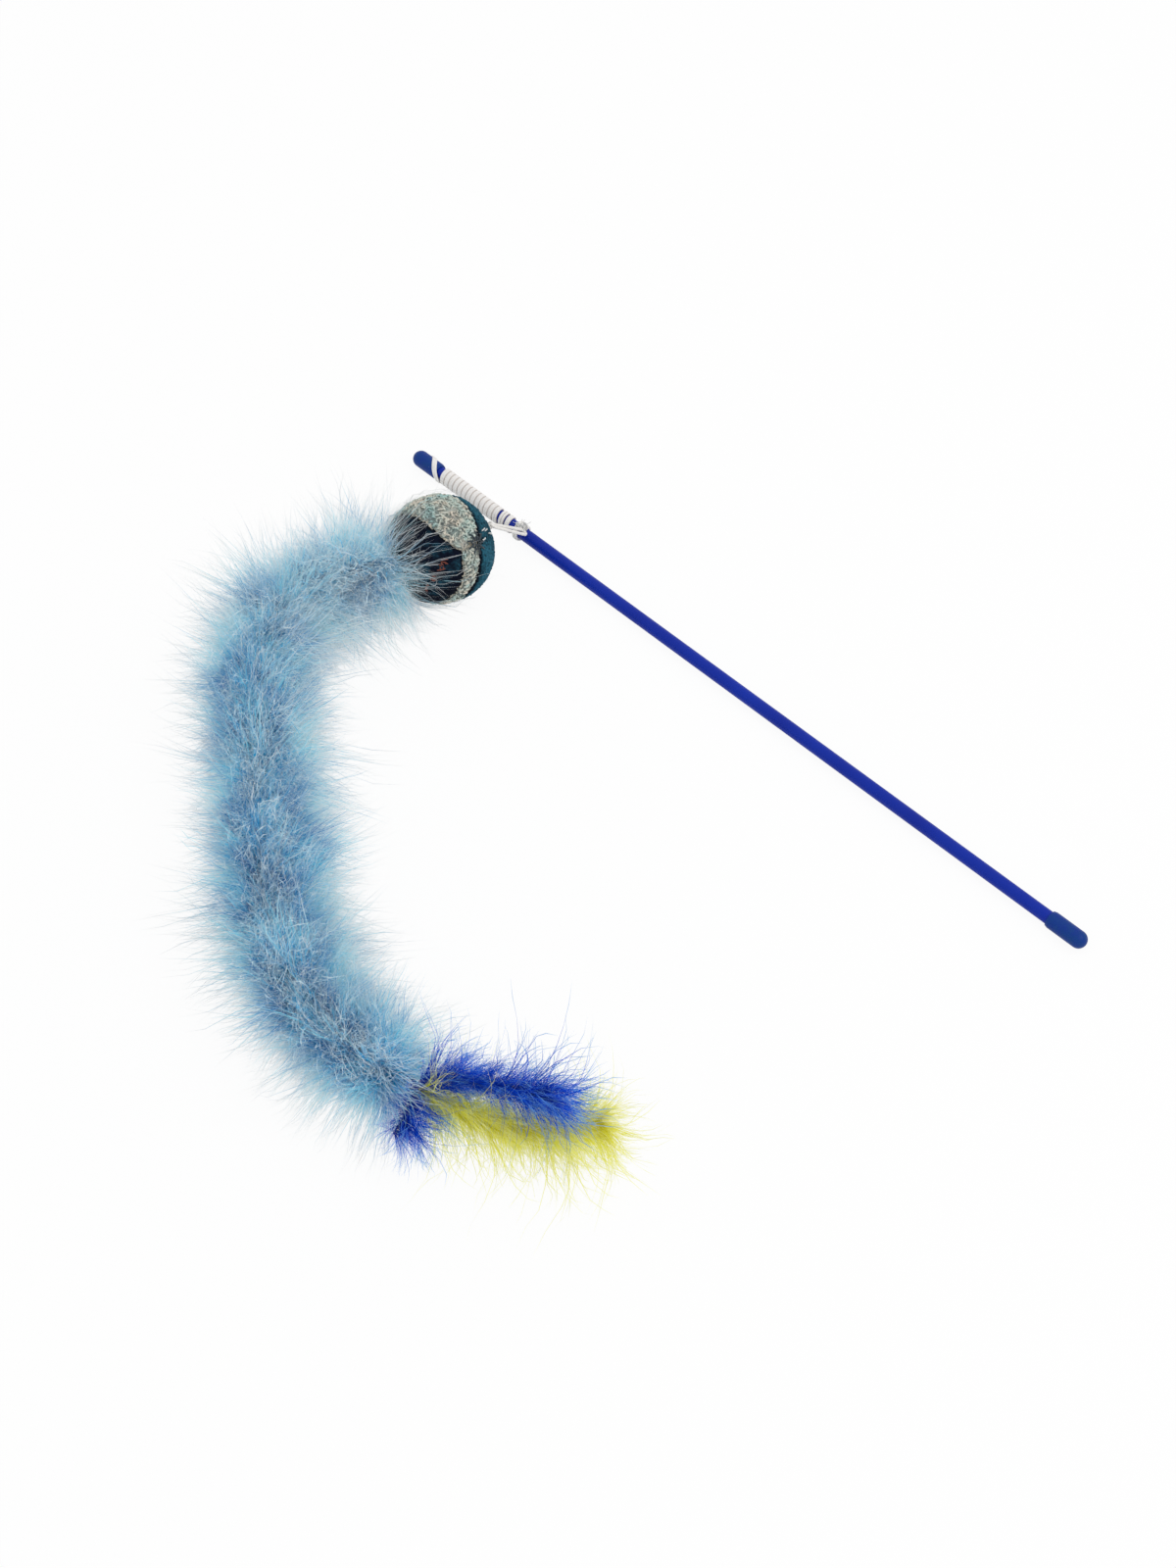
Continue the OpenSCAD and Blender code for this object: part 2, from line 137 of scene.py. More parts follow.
class Graph:
    """A node tree under construction, for a material or for Geometry Nodes."""

    def __init__(self, tree: bpy.types.NodeTree) -> None:
        """Wraps an empty tree.

        Args:
            tree: The tree that gets the nodes.
        """
        self.tree = tree

    def feed(self, socket: Socket, value: object) -> None:
        """Links a socket to another, or sets its value.

        Args:
            socket: The input to fill.
            value: An output socket, or a plain value.
        """
        if isinstance(value, Socket):
            self.tree.links.new(value, socket)
        else:
            socket.default_value = value

    def node(self, kind: str, inputs: Inputs | None = None, **settings: object) -> bpy.types.Node:
        """Adds a node.

        Args:
            kind: The node's type.
            inputs: Values or sockets by input name or number.
            settings: The node's own settings.

        Returns:
            The new node.
        """
        made = self.tree.nodes.new(kind)
        for name, value in settings.items():
            setattr(made, name, value)
        for key, value in (inputs or {}).items():
            self.feed(made.inputs[key], value)
        return made

    def math(self, operation: str, *values: object) -> Socket:
        """Adds a Math node and returns its result."""
        return self.node("ShaderNodeMath", dict(enumerate(values)), operation=operation).outputs[0]

    def times(self, first: object, second: object) -> Socket:
        """Returns the product of two numbers."""
        return self.math("MULTIPLY", first, second)

    def plus(self, first: object, second: object) -> Socket:
        """Returns the sum of two numbers."""
        return self.math("ADD", first, second)

    def minus(self, first: object, second: object) -> Socket:
        """Returns the first number less the second."""
        return self.math("SUBTRACT", first, second)

    def vector(self, operation: str, *values: object) -> Socket:
        """Adds a Vector Math node and returns its vector result."""
        inputs = dict(zip((0, 3) if operation == "SCALE" else (0, 1), values))
        return self.node("ShaderNodeVectorMath", inputs, operation=operation).outputs[0]

    def length(self, value: object) -> Socket:
        """Returns the length of a vector."""
        return self.node("ShaderNodeVectorMath", {0: value}, operation="LENGTH").outputs[1]

    def dot(self, first: object, second: object) -> Socket:
        """Returns how much of one vector points along another."""
        return self.node("ShaderNodeVectorMath", {0: first, 1: second},
                         operation="DOT_PRODUCT").outputs[1]

    def split(self, value: object) -> bpy.types.NodeOutputs:
        """Returns the X, Y and Z of a vector."""
        return self.node("ShaderNodeSeparateXYZ", {0: value}).outputs

    def join(self, x: object, y: object, z: object) -> Socket:
        """Returns a vector made of its X, Y and Z."""
        return self.node("ShaderNodeCombineXYZ", {0: x, 1: y, 2: z}).outputs[0]

    def span(self, value: object, low: float, high: float) -> Socket:
        """Returns 0 to 1, held, as a value goes from low to high."""
        return self.node("ShaderNodeMapRange", {0: value, 1: low, 2: high}).outputs[0]

    def press(self, value: object, knee: float, room: float) -> Socket:
        """Holds a value softly once it is past a knee.

        Args:
            value: The value.
            knee: Where the hold begins.
            room: How far beyond the knee the value comes at most.

        Returns:
            The held value.
        """
        over = self.math("MAXIMUM", self.minus(value, knee), 0.0)
        left = self.math("EXPONENT", self.math("DIVIDE", over, -room))
        return self.plus(self.math("MINIMUM", value, knee),
                         self.times(self.minus(1.0, left), room))

    def seen(self) -> Socket:
        """Returns 1 for the rays that show the pale background, and 0 for those that light."""
        rays = self.node("ShaderNodeLightPath").outputs
        return self.math("MAXIMUM", rays["Is Transmission Ray"],
                         self.math("MAXIMUM", rays["Is Camera Ray"], rays["Is Glossy Ray"]))

    def noise(self, where: object, scale: object, detail: float = 2.0, output: int = 0) -> Socket:
        """Returns noise at a place: its value, or its colour as output 1."""
        inputs = {"Vector": where, "Scale": scale, "Detail": detail}
        return self.node("ShaderNodeTexNoise", inputs).outputs[output]

    def blend(self, factor: object, first: object, second: object) -> Socket:
        """Returns a mix of two colours."""
        inputs = {0: factor, 6: rgba(first), 7: rgba(second)}
        return self.node("ShaderNodeMix", inputs, data_type="RGBA").outputs[2]


def rgba(colour: object) -> object:
    """Adds an alpha to a plain colour and leaves a socket as it is."""
    return colour if isinstance(colour, Socket) else (*colour, 1.0)


# Finishes


class Finish:
    """A finish of one piece: its record slot and its material."""

    slot: str

    def material(self) -> Material:
        """Makes the material."""
        raise NotImplementedError


def surface(name: str, **values: float) -> tuple[Graph, Material, bpy.types.Node, Socket]:
    """Starts a material.

    Args:
        name: The material's name.
        values: Plain inputs of its surface shader, with underscores for spaces.

    Returns:
        The graph of its nodes, the material, its surface shader and the place on the piece.
    """
    material = bpy.data.materials.new(name)
    material.use_nodes = True
    graph = Graph(material.node_tree)
    shader = material.node_tree.nodes["Principled BSDF"]
    for key, value in values.items():
        graph.feed(shader.inputs[key.replace("_", " ")], value)
    return graph, material, shader, graph.node("ShaderNodeTexCoord").outputs["Object"]


def bump(graph: Graph, shader: bpy.types.Node, height: object, depth: float) -> None:
    """Gives a surface shader a bump.

    Args:
        graph: The material's graph.
        shader: The surface shader.
        height: The height, from 0 to 1.
        depth: The real height of a step from 0 to 1.
    """
    made = graph.node("ShaderNodeBump", {"Strength": 1.0, "Distance": depth, "Height": height})
    graph.feed(shader.inputs["Normal"], made.outputs[0])


@dataclass(frozen=True)
class Plastic(Finish):
    """Plastic with a slight cloud in its colour and a fine unevenness in its gloss."""

    slot: str
    colour: Colour
    cloud: Colour
    cloud_scale: float
    roughness: float
    grain: float
    grain_size: float = 0.35 * MM
    wear: float = 0.16
    clouded: Pair = (0.35, 0.7)
    gloss_scale: float = 3.0

    def material(self) -> Material:
        """Makes the material.

        Returns:
            The material.
        """
        graph, material, shader, place = surface(self.slot, Specular_IOR_Level=0.2)
        cloud = graph.span(graph.noise(place, self.cloud_scale, 3.0), *self.clouded)
        graph.feed(shader.inputs["Base Color"], graph.blend(cloud, self.colour, self.cloud))
        gloss = graph.noise(place, self.cloud_scale * self.gloss_scale)
        worn = graph.math("MULTIPLY_ADD", gloss, self.wear, self.roughness - self.wear / 2.0)
        graph.feed(shader.inputs["Roughness"], worn)
        bump(graph, shader, graph.noise(place, 1.0 / self.grain_size), self.grain)
        return material


@dataclass(frozen=True)
class Yarn(Finish):
    """Cord or thread whose strands show as ribs across it.

    Valley is the distance from the rod's axis at which wound turns meet, with painted shade there,
    and where they are light. The groove colour is painted shade in the ribs' grooves.
    """

    slot: str
    colour: Colour
    groove_shade: Colour
    rib: float
    depth: float
    name: str = ""
    valley_shade: Pair = (0.0, HAIR)
    wobble_size: float = 0.9 * MM
    fibre_size: float = 0.22 * MM
    fibre_share: float = 0.6
    tinted: Pair = (0.1, 1.0)

    def material(self) -> Material:
        """Makes the material.

        Returns:
            The material.
        """
        graph, material, shader, place = surface(self.name or self.slot, Roughness=0.8,
                                                 Sheen_Weight=0.25)
        along = graph.split(graph.node("ShaderNodeUVMap", uv_map="UVMap").outputs[0])[0]
        wobble = graph.noise(place, 1.0 / self.wobble_size)
        turns = graph.math("MULTIPLY_ADD", along, 1.0 / self.rib, wobble)
        wave = graph.math("SINE", graph.times(turns, 2.0 * math.pi))
        rib = graph.math("MULTIPLY_ADD", wave, 0.5, 0.5)
        fibre = graph.noise(place, 1.0 / self.fibre_size)
        height = graph.math("MULTIPLY_ADD", fibre, self.fibre_share, rib)
        # Painted shade: the groove colour darkens the ribs' grooves, which fibre noise mottles.
        tint = graph.span(height, *self.tinted)
        # Painted shade: near the rod's axis, where wound turns meet, the valley colour takes over.
        from_rod = graph.length(graph.vector("MULTIPLY", place, (0.0, 1.0, 1.0)))
        turn = graph.span(from_rod, *self.valley_shade)
        lit = graph.blend(tint, self.groove_shade, self.colour)
        graph.feed(shader.inputs["Base Color"], graph.blend(turn, VALLEY_SHADE, lit))
        bump(graph, shader, height, self.depth)
        return material


@dataclass(frozen=True)
class Cloth(Finish):
    """Fabric of the ball's cover: two tones in clouds, darker in its depths with painted shade.

    Pile is the distance from the ball's centre at the foot of the pile, and at its top; towards
    its foot the cloth takes the deep colour as painted shade.
    """

    slot: str
    light: Colour
    tint: Colour
    deep_shade: Colour
    cloud: float
    weave: float
    depth: float
    pile: Pair
    shade: float = 0.0
    tinted: Pair = (0.38, 0.66)
    # Where the weave's low spots turn to painted shade.
    sunk: Pair = (0.52, 0.3)

    def material(self) -> Material:
        """Makes the material.

        Returns:
            The material.
        """
        graph, material, shader, place = surface(self.slot, Roughness=0.9,
                                                 Specular_IOR_Level=0.1)
        shade = graph.node("ShaderNodeAttribute", attribute_name="shade").outputs["Fac"]
        cloud = graph.math("MULTIPLY_ADD", shade, self.shade,
                           graph.noise(place, 1.0 / self.cloud, 3.0))
        weave = graph.noise(place, 1.0 / self.weave, 3.0)
        base = graph.blend(graph.span(cloud, *self.tinted), self.light, self.tint)
        # Painted shade: the weave's low spots and the foot of the pile take the deep colour.
        shaded = graph.blend(graph.span(weave, *self.sunk), base, self.deep_shade)
        out = graph.length(graph.vector("SUBTRACT", place, BALL.centre))
        graph.feed(shader.inputs["Base Color"],
                   graph.blend(graph.span(out, *self.pile), self.deep_shade, shaded))
        bump(graph, shader, weave, self.depth)
        return material


@dataclass(frozen=True)
class Barbs(Finish):
    """Feather barbs: deep colour at the root, pale at the tip, each lock a little different.

    Middle at and tip at are the shares of a barb's length at which it has those colours. Crest
    and depths are how far the root's colour comes up on the near side and in hollows, as painted
    shade of the dense fluff, and thin is how much light passes through. The pairs are where a
    noise, a lock's tone or a barb's length starts and ends to show a shaded hollow or the stray
    colour.
    """

    slot: str
    root: Colour
    middle: Colour
    tip: Colour
    stray: Colour
    middle_at: float
    crest: float = 0.0
    depths: float = 0.0
    name: str = ""
    tip_at: float = 0.8
    thin: float = 0.5
    hollow_size: float = 17 * MM
    hollows: Pair = (0.56, 0.4)
    hollow_reach: Pair = (0.85, 0.25)
    stray_tones: Pair = (0.55, 1.0)
    stray_size: float = 14 * MM
    stray_clouds: Pair = (0.3, 0.8)
    stray_reach: Pair = (0.08, 0.45)

    def material(self) -> Material:
        """Makes the material.

        Returns:
            The material.
        """
        graph, material, shader, place = surface(self.name or self.slot, Roughness=0.8,
                                                 Specular_IOR_Level=0.1)
        tone, along = graph.split(graph.node("ShaderNodeUVMap", uv_map="UVMap").outputs[0])[:2]
        crest = graph.node("ShaderNodeAttribute", attribute_name="crest").outputs["Fac"]
        # Painted shade: on the near side the root colour comes further up the barb.
        reach = graph.times(along, graph.minus(1.0, graph.times(crest, self.crest)))
        low = graph.blend(graph.span(reach, 0.0, self.middle_at), self.root, self.middle)
        full = graph.blend(graph.span(reach, self.middle_at, self.tip_at), low, self.tip)
        # Painted shade: hollows in a noise take the root colour, less so towards the tips.
        hollow_shade = graph.span(graph.noise(place, 1.0 / self.hollow_size), *self.hollows)
        hollow_shade = graph.times(hollow_shade, graph.span(reach, *self.hollow_reach))
        full = graph.blend(graph.times(hollow_shade, self.depths), full, self.root)
        cloud = graph.noise(place, 1.0 / self.stray_size)
        stray = graph.times(graph.span(tone, *self.stray_tones),
                            graph.span(cloud, *self.stray_clouds))
        stray = graph.times(stray, graph.span(reach, *self.stray_reach))
        colour = graph.blend(stray, full, self.stray)
        graph.feed(shader.inputs["Base Color"], colour)
        through = graph.node("ShaderNodeBsdfTranslucent", {"Color": colour})
        both_sides = graph.node("ShaderNodeMixShader",
                                {0: self.thin, 1: shader.outputs[0], 2: through.outputs[0]})
        graph.feed(material.node_tree.nodes["Material Output"].inputs[0], both_sides.outputs[0])
        return material


ROD_BLUE = Plastic("rod_blue", srgb(0, 42, 162), srgb(0, 34, 148), 30.0, 0.45, 0.004 * MM)
CAP_BLUE = Plastic("cap_blue", srgb(0, 48, 136), srgb(0, 58, 128), 260.0, 0.45, 0.012 * MM)
# Painted shade where wound turns meet.
VALLEY_SHADE = srgb(206, 198, 192)
# The second colour of each yarn is painted shade in its grooves.
ELASTIC = Yarn("elastic_white", srgb(250, 248, 244), srgb(226, 220, 214), 0.55 * MM, 0.05 * MM)
WOUND = Yarn("elastic_white", srgb(252, 250, 248), srgb(232, 226, 222), 0.55 * MM, 0.05 * MM,
             name="elastic_wound", valley_shade=(3.62 * MM, 3.86 * MM))
FRAY = Yarn("elastic_white", srgb(240, 240, 238), srgb(128, 128, 132), 0.4 * MM, 0.05 * MM,
            name="elastic_fray")
STRING = Yarn("boa_string", srgb(110, 168, 208), srgb(70, 130, 180), 0.5 * MM, 0.05 * MM)
DARK_THREAD = Yarn("thread_dark", srgb(42, 58, 68), srgb(24, 34, 42), 0.4 * MM, 0.04 * MM)
RUST_THREAD = Yarn("thread_dark", srgb(136, 62, 36), srgb(84, 36, 22), 0.5 * MM, 0.05 * MM,
                   name="rust_thread")
TAIL_THREAD = Yarn("tail_thread", srgb(32, 72, 150), srgb(18, 44, 104), 0.4 * MM, 0.04 * MM)
# The third colour of each cloth is painted shade in its depths.
FILLING = Cloth("ball_filling", srgb(206, 198, 180), srgb(196, 190, 176), srgb(150, 142, 126),
                6 * MM, 0.8 * MM, 0.2 * MM, (0.0, 10 * MM))
BOUCLE = Cloth("patch_light", srgb(232, 222, 206), srgb(176, 210, 206), srgb(104, 114, 114),
               6 * MM, 1.3 * MM, 0.12 * MM, (23.5 * MM, 24.5 * MM))
FELT = Cloth("patch_dark", srgb(44, 100, 120), srgb(8, 16, 34), srgb(4, 10, 22),
             7 * MM, 0.9 * MM, 0.2 * MM, (24.1 * MM, 24.7 * MM), -0.16)
# The boa's colours from root to tip are partly the dye and partly painted shade deep in the fluff.
BOA_BARBS = Barbs("boa_feather", srgb(0, 118, 196), srgb(138, 236, 254), srgb(252, 254, 254),
                  srgb(252, 254, 252), 0.36, 0.84, 0.9)
BOA_DOWN = Barbs("boa_feather", srgb(0, 70, 132), srgb(50, 204, 250), srgb(236, 250, 254),
                 srgb(252, 254, 254), 0.48, 0.0, 1.0, "boa_down")
BOA_CURLS = Barbs("boa_feather", srgb(30, 170, 226), srgb(186, 240, 254), srgb(252, 254, 254),
                  srgb(254, 254, 254), 0.3, name="boa_curls")
BLUE_BARBS = Barbs("feather_blue", srgb(0, 42, 172), srgb(0, 96, 238), srgb(124, 186, 246),
                   srgb(150, 184, 226), 0.6, 0.0, 0.6)
YELLOW_BARBS = Barbs("feather_yellow", srgb(222, 216, 24), srgb(252, 250, 112),
                     srgb(254, 254, 180), srgb(250, 250, 206), 0.5, 0.0, 0.4)
BLUE_QUILL = Plastic("quill_blue", srgb(28, 52, 140), srgb(40, 70, 160), 120.0, 0.45, 0.01 * MM)
YELLOW_QUILL = Plastic("quill_yellow", srgb(150, 148, 52), srgb(170, 166, 70), 120.0, 0.45,
                       0.01 * MM)


# Geometry Nodes


class Recipe:
    """A Geometry Nodes tree with named inputs, from a carrier mesh to one plain mesh."""

    def __init__(self, name: str) -> None:
        """Starts the tree with its geometry sockets and its material input.

        Args:
            name: The tree's name.
        """
        self.tree = bpy.data.node_groups.new(name, "GeometryNodeTree")
        self.graph = Graph(self.tree)
        self.keys: dict[str, str] = {}
        sockets = self.tree.interface
        sockets.new_socket("Geometry", in_out="INPUT", socket_type="NodeSocketGeometry")
        sockets.new_socket("Geometry", in_out="OUTPUT", socket_type="NodeSocketGeometry")
        self.entry = self.tree.nodes.new("NodeGroupInput")
        self.exit = self.tree.nodes.new("NodeGroupOutput")
        self.finish = self.size("Material", "NodeSocketMaterial")

    @property
    def given(self) -> Socket:
        """Returns the geometry that the tree starts from."""
        return self.entry.outputs["Geometry"]

    def size(self, name: str, kind: str = "NodeSocketFloat") -> Socket:
        """Adds a named input.

        Args:
            name: The input's name.
            kind: The socket's type.

        Returns:
            The input inside the tree.
        """
        made = self.tree.interface.new_socket(name, in_out="INPUT", socket_type=kind)
        self.keys[name] = made.identifier
        return self.entry.outputs[name]

    def sizes(self, *names: str, kind: str = "NodeSocketFloat") -> list[Socket]:
        """Adds named inputs of one kind and returns them."""
        return [self.size(name, kind) for name in names]

    def chance(self, low: object, high: object, seed: object, more: float) -> Socket:
        """Returns a random number for each element, from a seed and what is added to it."""
        inputs = {2: low, 3: high, 8: self.graph.plus(seed, more)}
        return self.graph.node("FunctionNodeRandomValue", inputs, data_type="FLOAT").outputs[1]

    def pick(self, high: object, seed: object, more: float) -> Socket:
        """Returns a random whole number from 0 up, from a seed and what is added to it."""
        inputs = {4: 0, 5: high, 8: self.graph.plus(seed, more)}
        return self.graph.node("FunctionNodeRandomValue", inputs, data_type="INT").outputs[2]

    def named(self, name: str, kind: str = "FLOAT") -> Socket:
        """Returns what is stored on each element under a name."""
        return self.graph.node("GeometryNodeInputNamedAttribute", {"Name": name},
                               data_type=kind).outputs[0]

    def turned(self, rotation: object, y: object, z: object) -> Socket:
        """Returns a rotation turned further about its own Y and Z."""
        return self.graph.node("FunctionNodeRotateRotation",
                               {0: rotation, 1: self.graph.join(0.0, y, z)},
                               rotation_space="LOCAL").outputs[0]

    def spread(self, points: object, shapes: object, seed: object, more: float,
               **inputs: object) -> Socket:
        """Puts one of the shapes, drawn by lot, on each point.

        Args:
            points: The points.
            shapes: The shapes, as instances.
            seed: The seed of the draw.
            more: What is added to the seed.
            inputs: Further inputs of the node, such as its Rotation and Scale.

        Returns:
            The instances.
        """
        return self.graph.node(
            "GeometryNodeInstanceOnPoints",
            {"Points": points, "Instance": shapes, "Pick Instance": True,
             "Instance Index": self.pick(SEED_LIMIT, seed, more), **inputs}).outputs[0]

    def children(self, name: str) -> Socket:
        """Adds an input for a collection and returns its objects as instances."""
        inputs = {0: self.size(name, "NodeSocketCollection"), 1: True, 2: True}
        return self.graph.node("GeometryNodeCollectionInfo", inputs).outputs[0]

    def close(self, geometry: Socket) -> None:
        """Ends the tree: realizes its instances and sets its material.

        Args:
            geometry: What the tree has made.
        """
        real = self.graph.node("GeometryNodeRealizeInstances", {0: geometry}).outputs[0]
        smooth = self.graph.node("GeometryNodeSetShadeSmooth", {0: real}).outputs[0]
        inputs = {0: smooth, 2: self.finish}
        dressed = self.graph.node("GeometryNodeSetMaterial", inputs).outputs[0]
        self.tree.links.new(dressed, self.exit.inputs[0])

    def run(self, carrier: Mesh, name: str, **values: object) -> Piece:
        """Runs the tree on a carrier mesh.

        Args:
            carrier: The mesh that the tree starts from. It is used up.
            name: The name of the piece.
            values: The tree's inputs, with underscores for spaces.

        Returns:
            The piece, with a plain mesh.
        """
        holder = bpy.data.objects.new(name + "_carrier", carrier)
        bpy.context.scene.collection.objects.link(holder)
        modifier = holder.modifiers.new(self.tree.name, "NODES")
        modifier.node_group = self.tree
        for key, value in values.items():
            modifier[self.keys[key.replace("_", " ")]] = value
        depsgraph = bpy.context.evaluated_depsgraph_get()
        made = bpy.data.meshes.new_from_object(
            holder.evaluated_get(depsgraph), preserve_all_data_layers=True, depsgraph=depsgraph)
        made.name = name
        bpy.data.objects.remove(holder)
        bpy.data.meshes.remove(carrier)
        return place_piece(name, made)


def place_piece(name: str, mesh: Mesh) -> Piece:
    """Puts a mesh into the scene as a piece at the origin.

    Args:
        name: The piece's name.
        mesh: Its mesh, in place.

    Returns:
        The piece.
    """
    piece = bpy.data.objects.new(name, mesh)
    bpy.context.scene.collection.objects.link(piece)
    LOG.info("%s: %d faces", name, len(mesh.polygons))
    return piece


def polyline(name: str, lines: list[np.ndarray], thick: list[np.ndarray] | None = None) -> Mesh:
    """Makes a mesh of open lines, the carrier of a path.

    Args:
        name: The mesh's name.
        lines: The points of each line, one row a point.
        thick: The thickness at each point as a share, one array a line.

    Returns:
        The mesh.
    """
    points = np.concatenate(lines)
    edges = []
    first = 0
    for line in lines:
        edges += [(first + i, first + i + 1) for i in range(len(line) - 1)]
        first += len(line)
    mesh = bpy.data.meshes.new(name)
    mesh.from_pydata(points.tolist(), edges, [])
    shares = np.ones(len(points)) if thick is None else np.concatenate(thick)
    mesh.attributes.new("thick", "FLOAT", "POINT").data.foreach_set("value", shares)
    return mesh


def sweep_recipe() -> Recipe:
    """Makes the tree that turns lines into round cords, with their length kept as a UV.

    Returns:
        The recipe, with the inputs Radius and Sides.
    """
    recipe = Recipe("cord_along_path")
    graph = recipe.graph
    radius = recipe.size("Radius")
    sides = recipe.size("Sides", "NodeSocketInt")
    curve = graph.node("GeometryNodeMeshToCurve", {0: recipe.given}).outputs[0]
    spline = graph.node("GeometryNodeSplineParameter").outputs
    kept = graph.node("GeometryNodeCaptureAttribute", {0: curve})
    kept.capture_items.new("FLOAT", "along")
    graph.feed(kept.inputs[1], spline["Length"])
    scale = graph.times(recipe.named("thick"), radius)
    ring = graph.node("GeometryNodeCurvePrimitiveCircle", {"Resolution": sides, "Radius": 1.0})
    tube = graph.node("GeometryNodeCurveToMesh",
                      {0: kept.outputs[0], 1: ring.outputs[0], 2: scale, 3: True}).outputs[0]
    marked = graph.node(
        "GeometryNodeStoreNamedAttribute",
        {0: tube, "Name": "UVMap", "Value": graph.join(kept.outputs[1], 0.0, 0.0)},
        data_type="FLOAT2", domain="CORNER").outputs[0]
    recipe.close(marked)
    return recipe


def cords(sweep: Recipe, name: str, lines: list[np.ndarray], radius: float, sides: int,
          finish: Material, thick: list[np.ndarray] | None = None) -> Piece:
    """Makes round cords along lines as one piece.

    Args:
        sweep: The recipe that turns lines into cords.
        name: The piece's name.
        lines: The points of each line.
        radius: The cords' radius.
        sides: How many sides their section has.
        finish: Their material.
        thick: The thickness at each point as a share of the radius, one array a line.

    Returns:
        The piece.
    """
    return sweep.run(polyline(name, lines, thick), name, Radius=radius, Sides=sides,
                     Material=finish)


def trefoil(count: int) -> np.ndarray:
    """Returns points along a trefoil knot round Z, three wide from its middle."""
    turns = np.linspace(0.0, 2.0 * math.pi, count)
    return np.stack([np.sin(turns) + 2.0 * np.sin(2.0 * turns),
                     np.cos(turns) - 2.0 * np.cos(2.0 * turns), -np.sin(3.0 * turns)], axis=1)


# What every layer of barbs keeps to: how far out the clumps are read, and the soft limits of its
# place towards -Y and towards +Z
NEAR = 30 * MM
SIDE_KNEE, SIDE_ROOM = 3 * MM - CAD_LOW[1], 12 * MM
TOP_KNEE, TOP_ROOM = CAD_HIGH[2] - 4 * MM, 14 * MM
CREST_POWER, FREE_POWER = 1.3, 1.4
HALVES = (0.5, 0.5, 0.5)


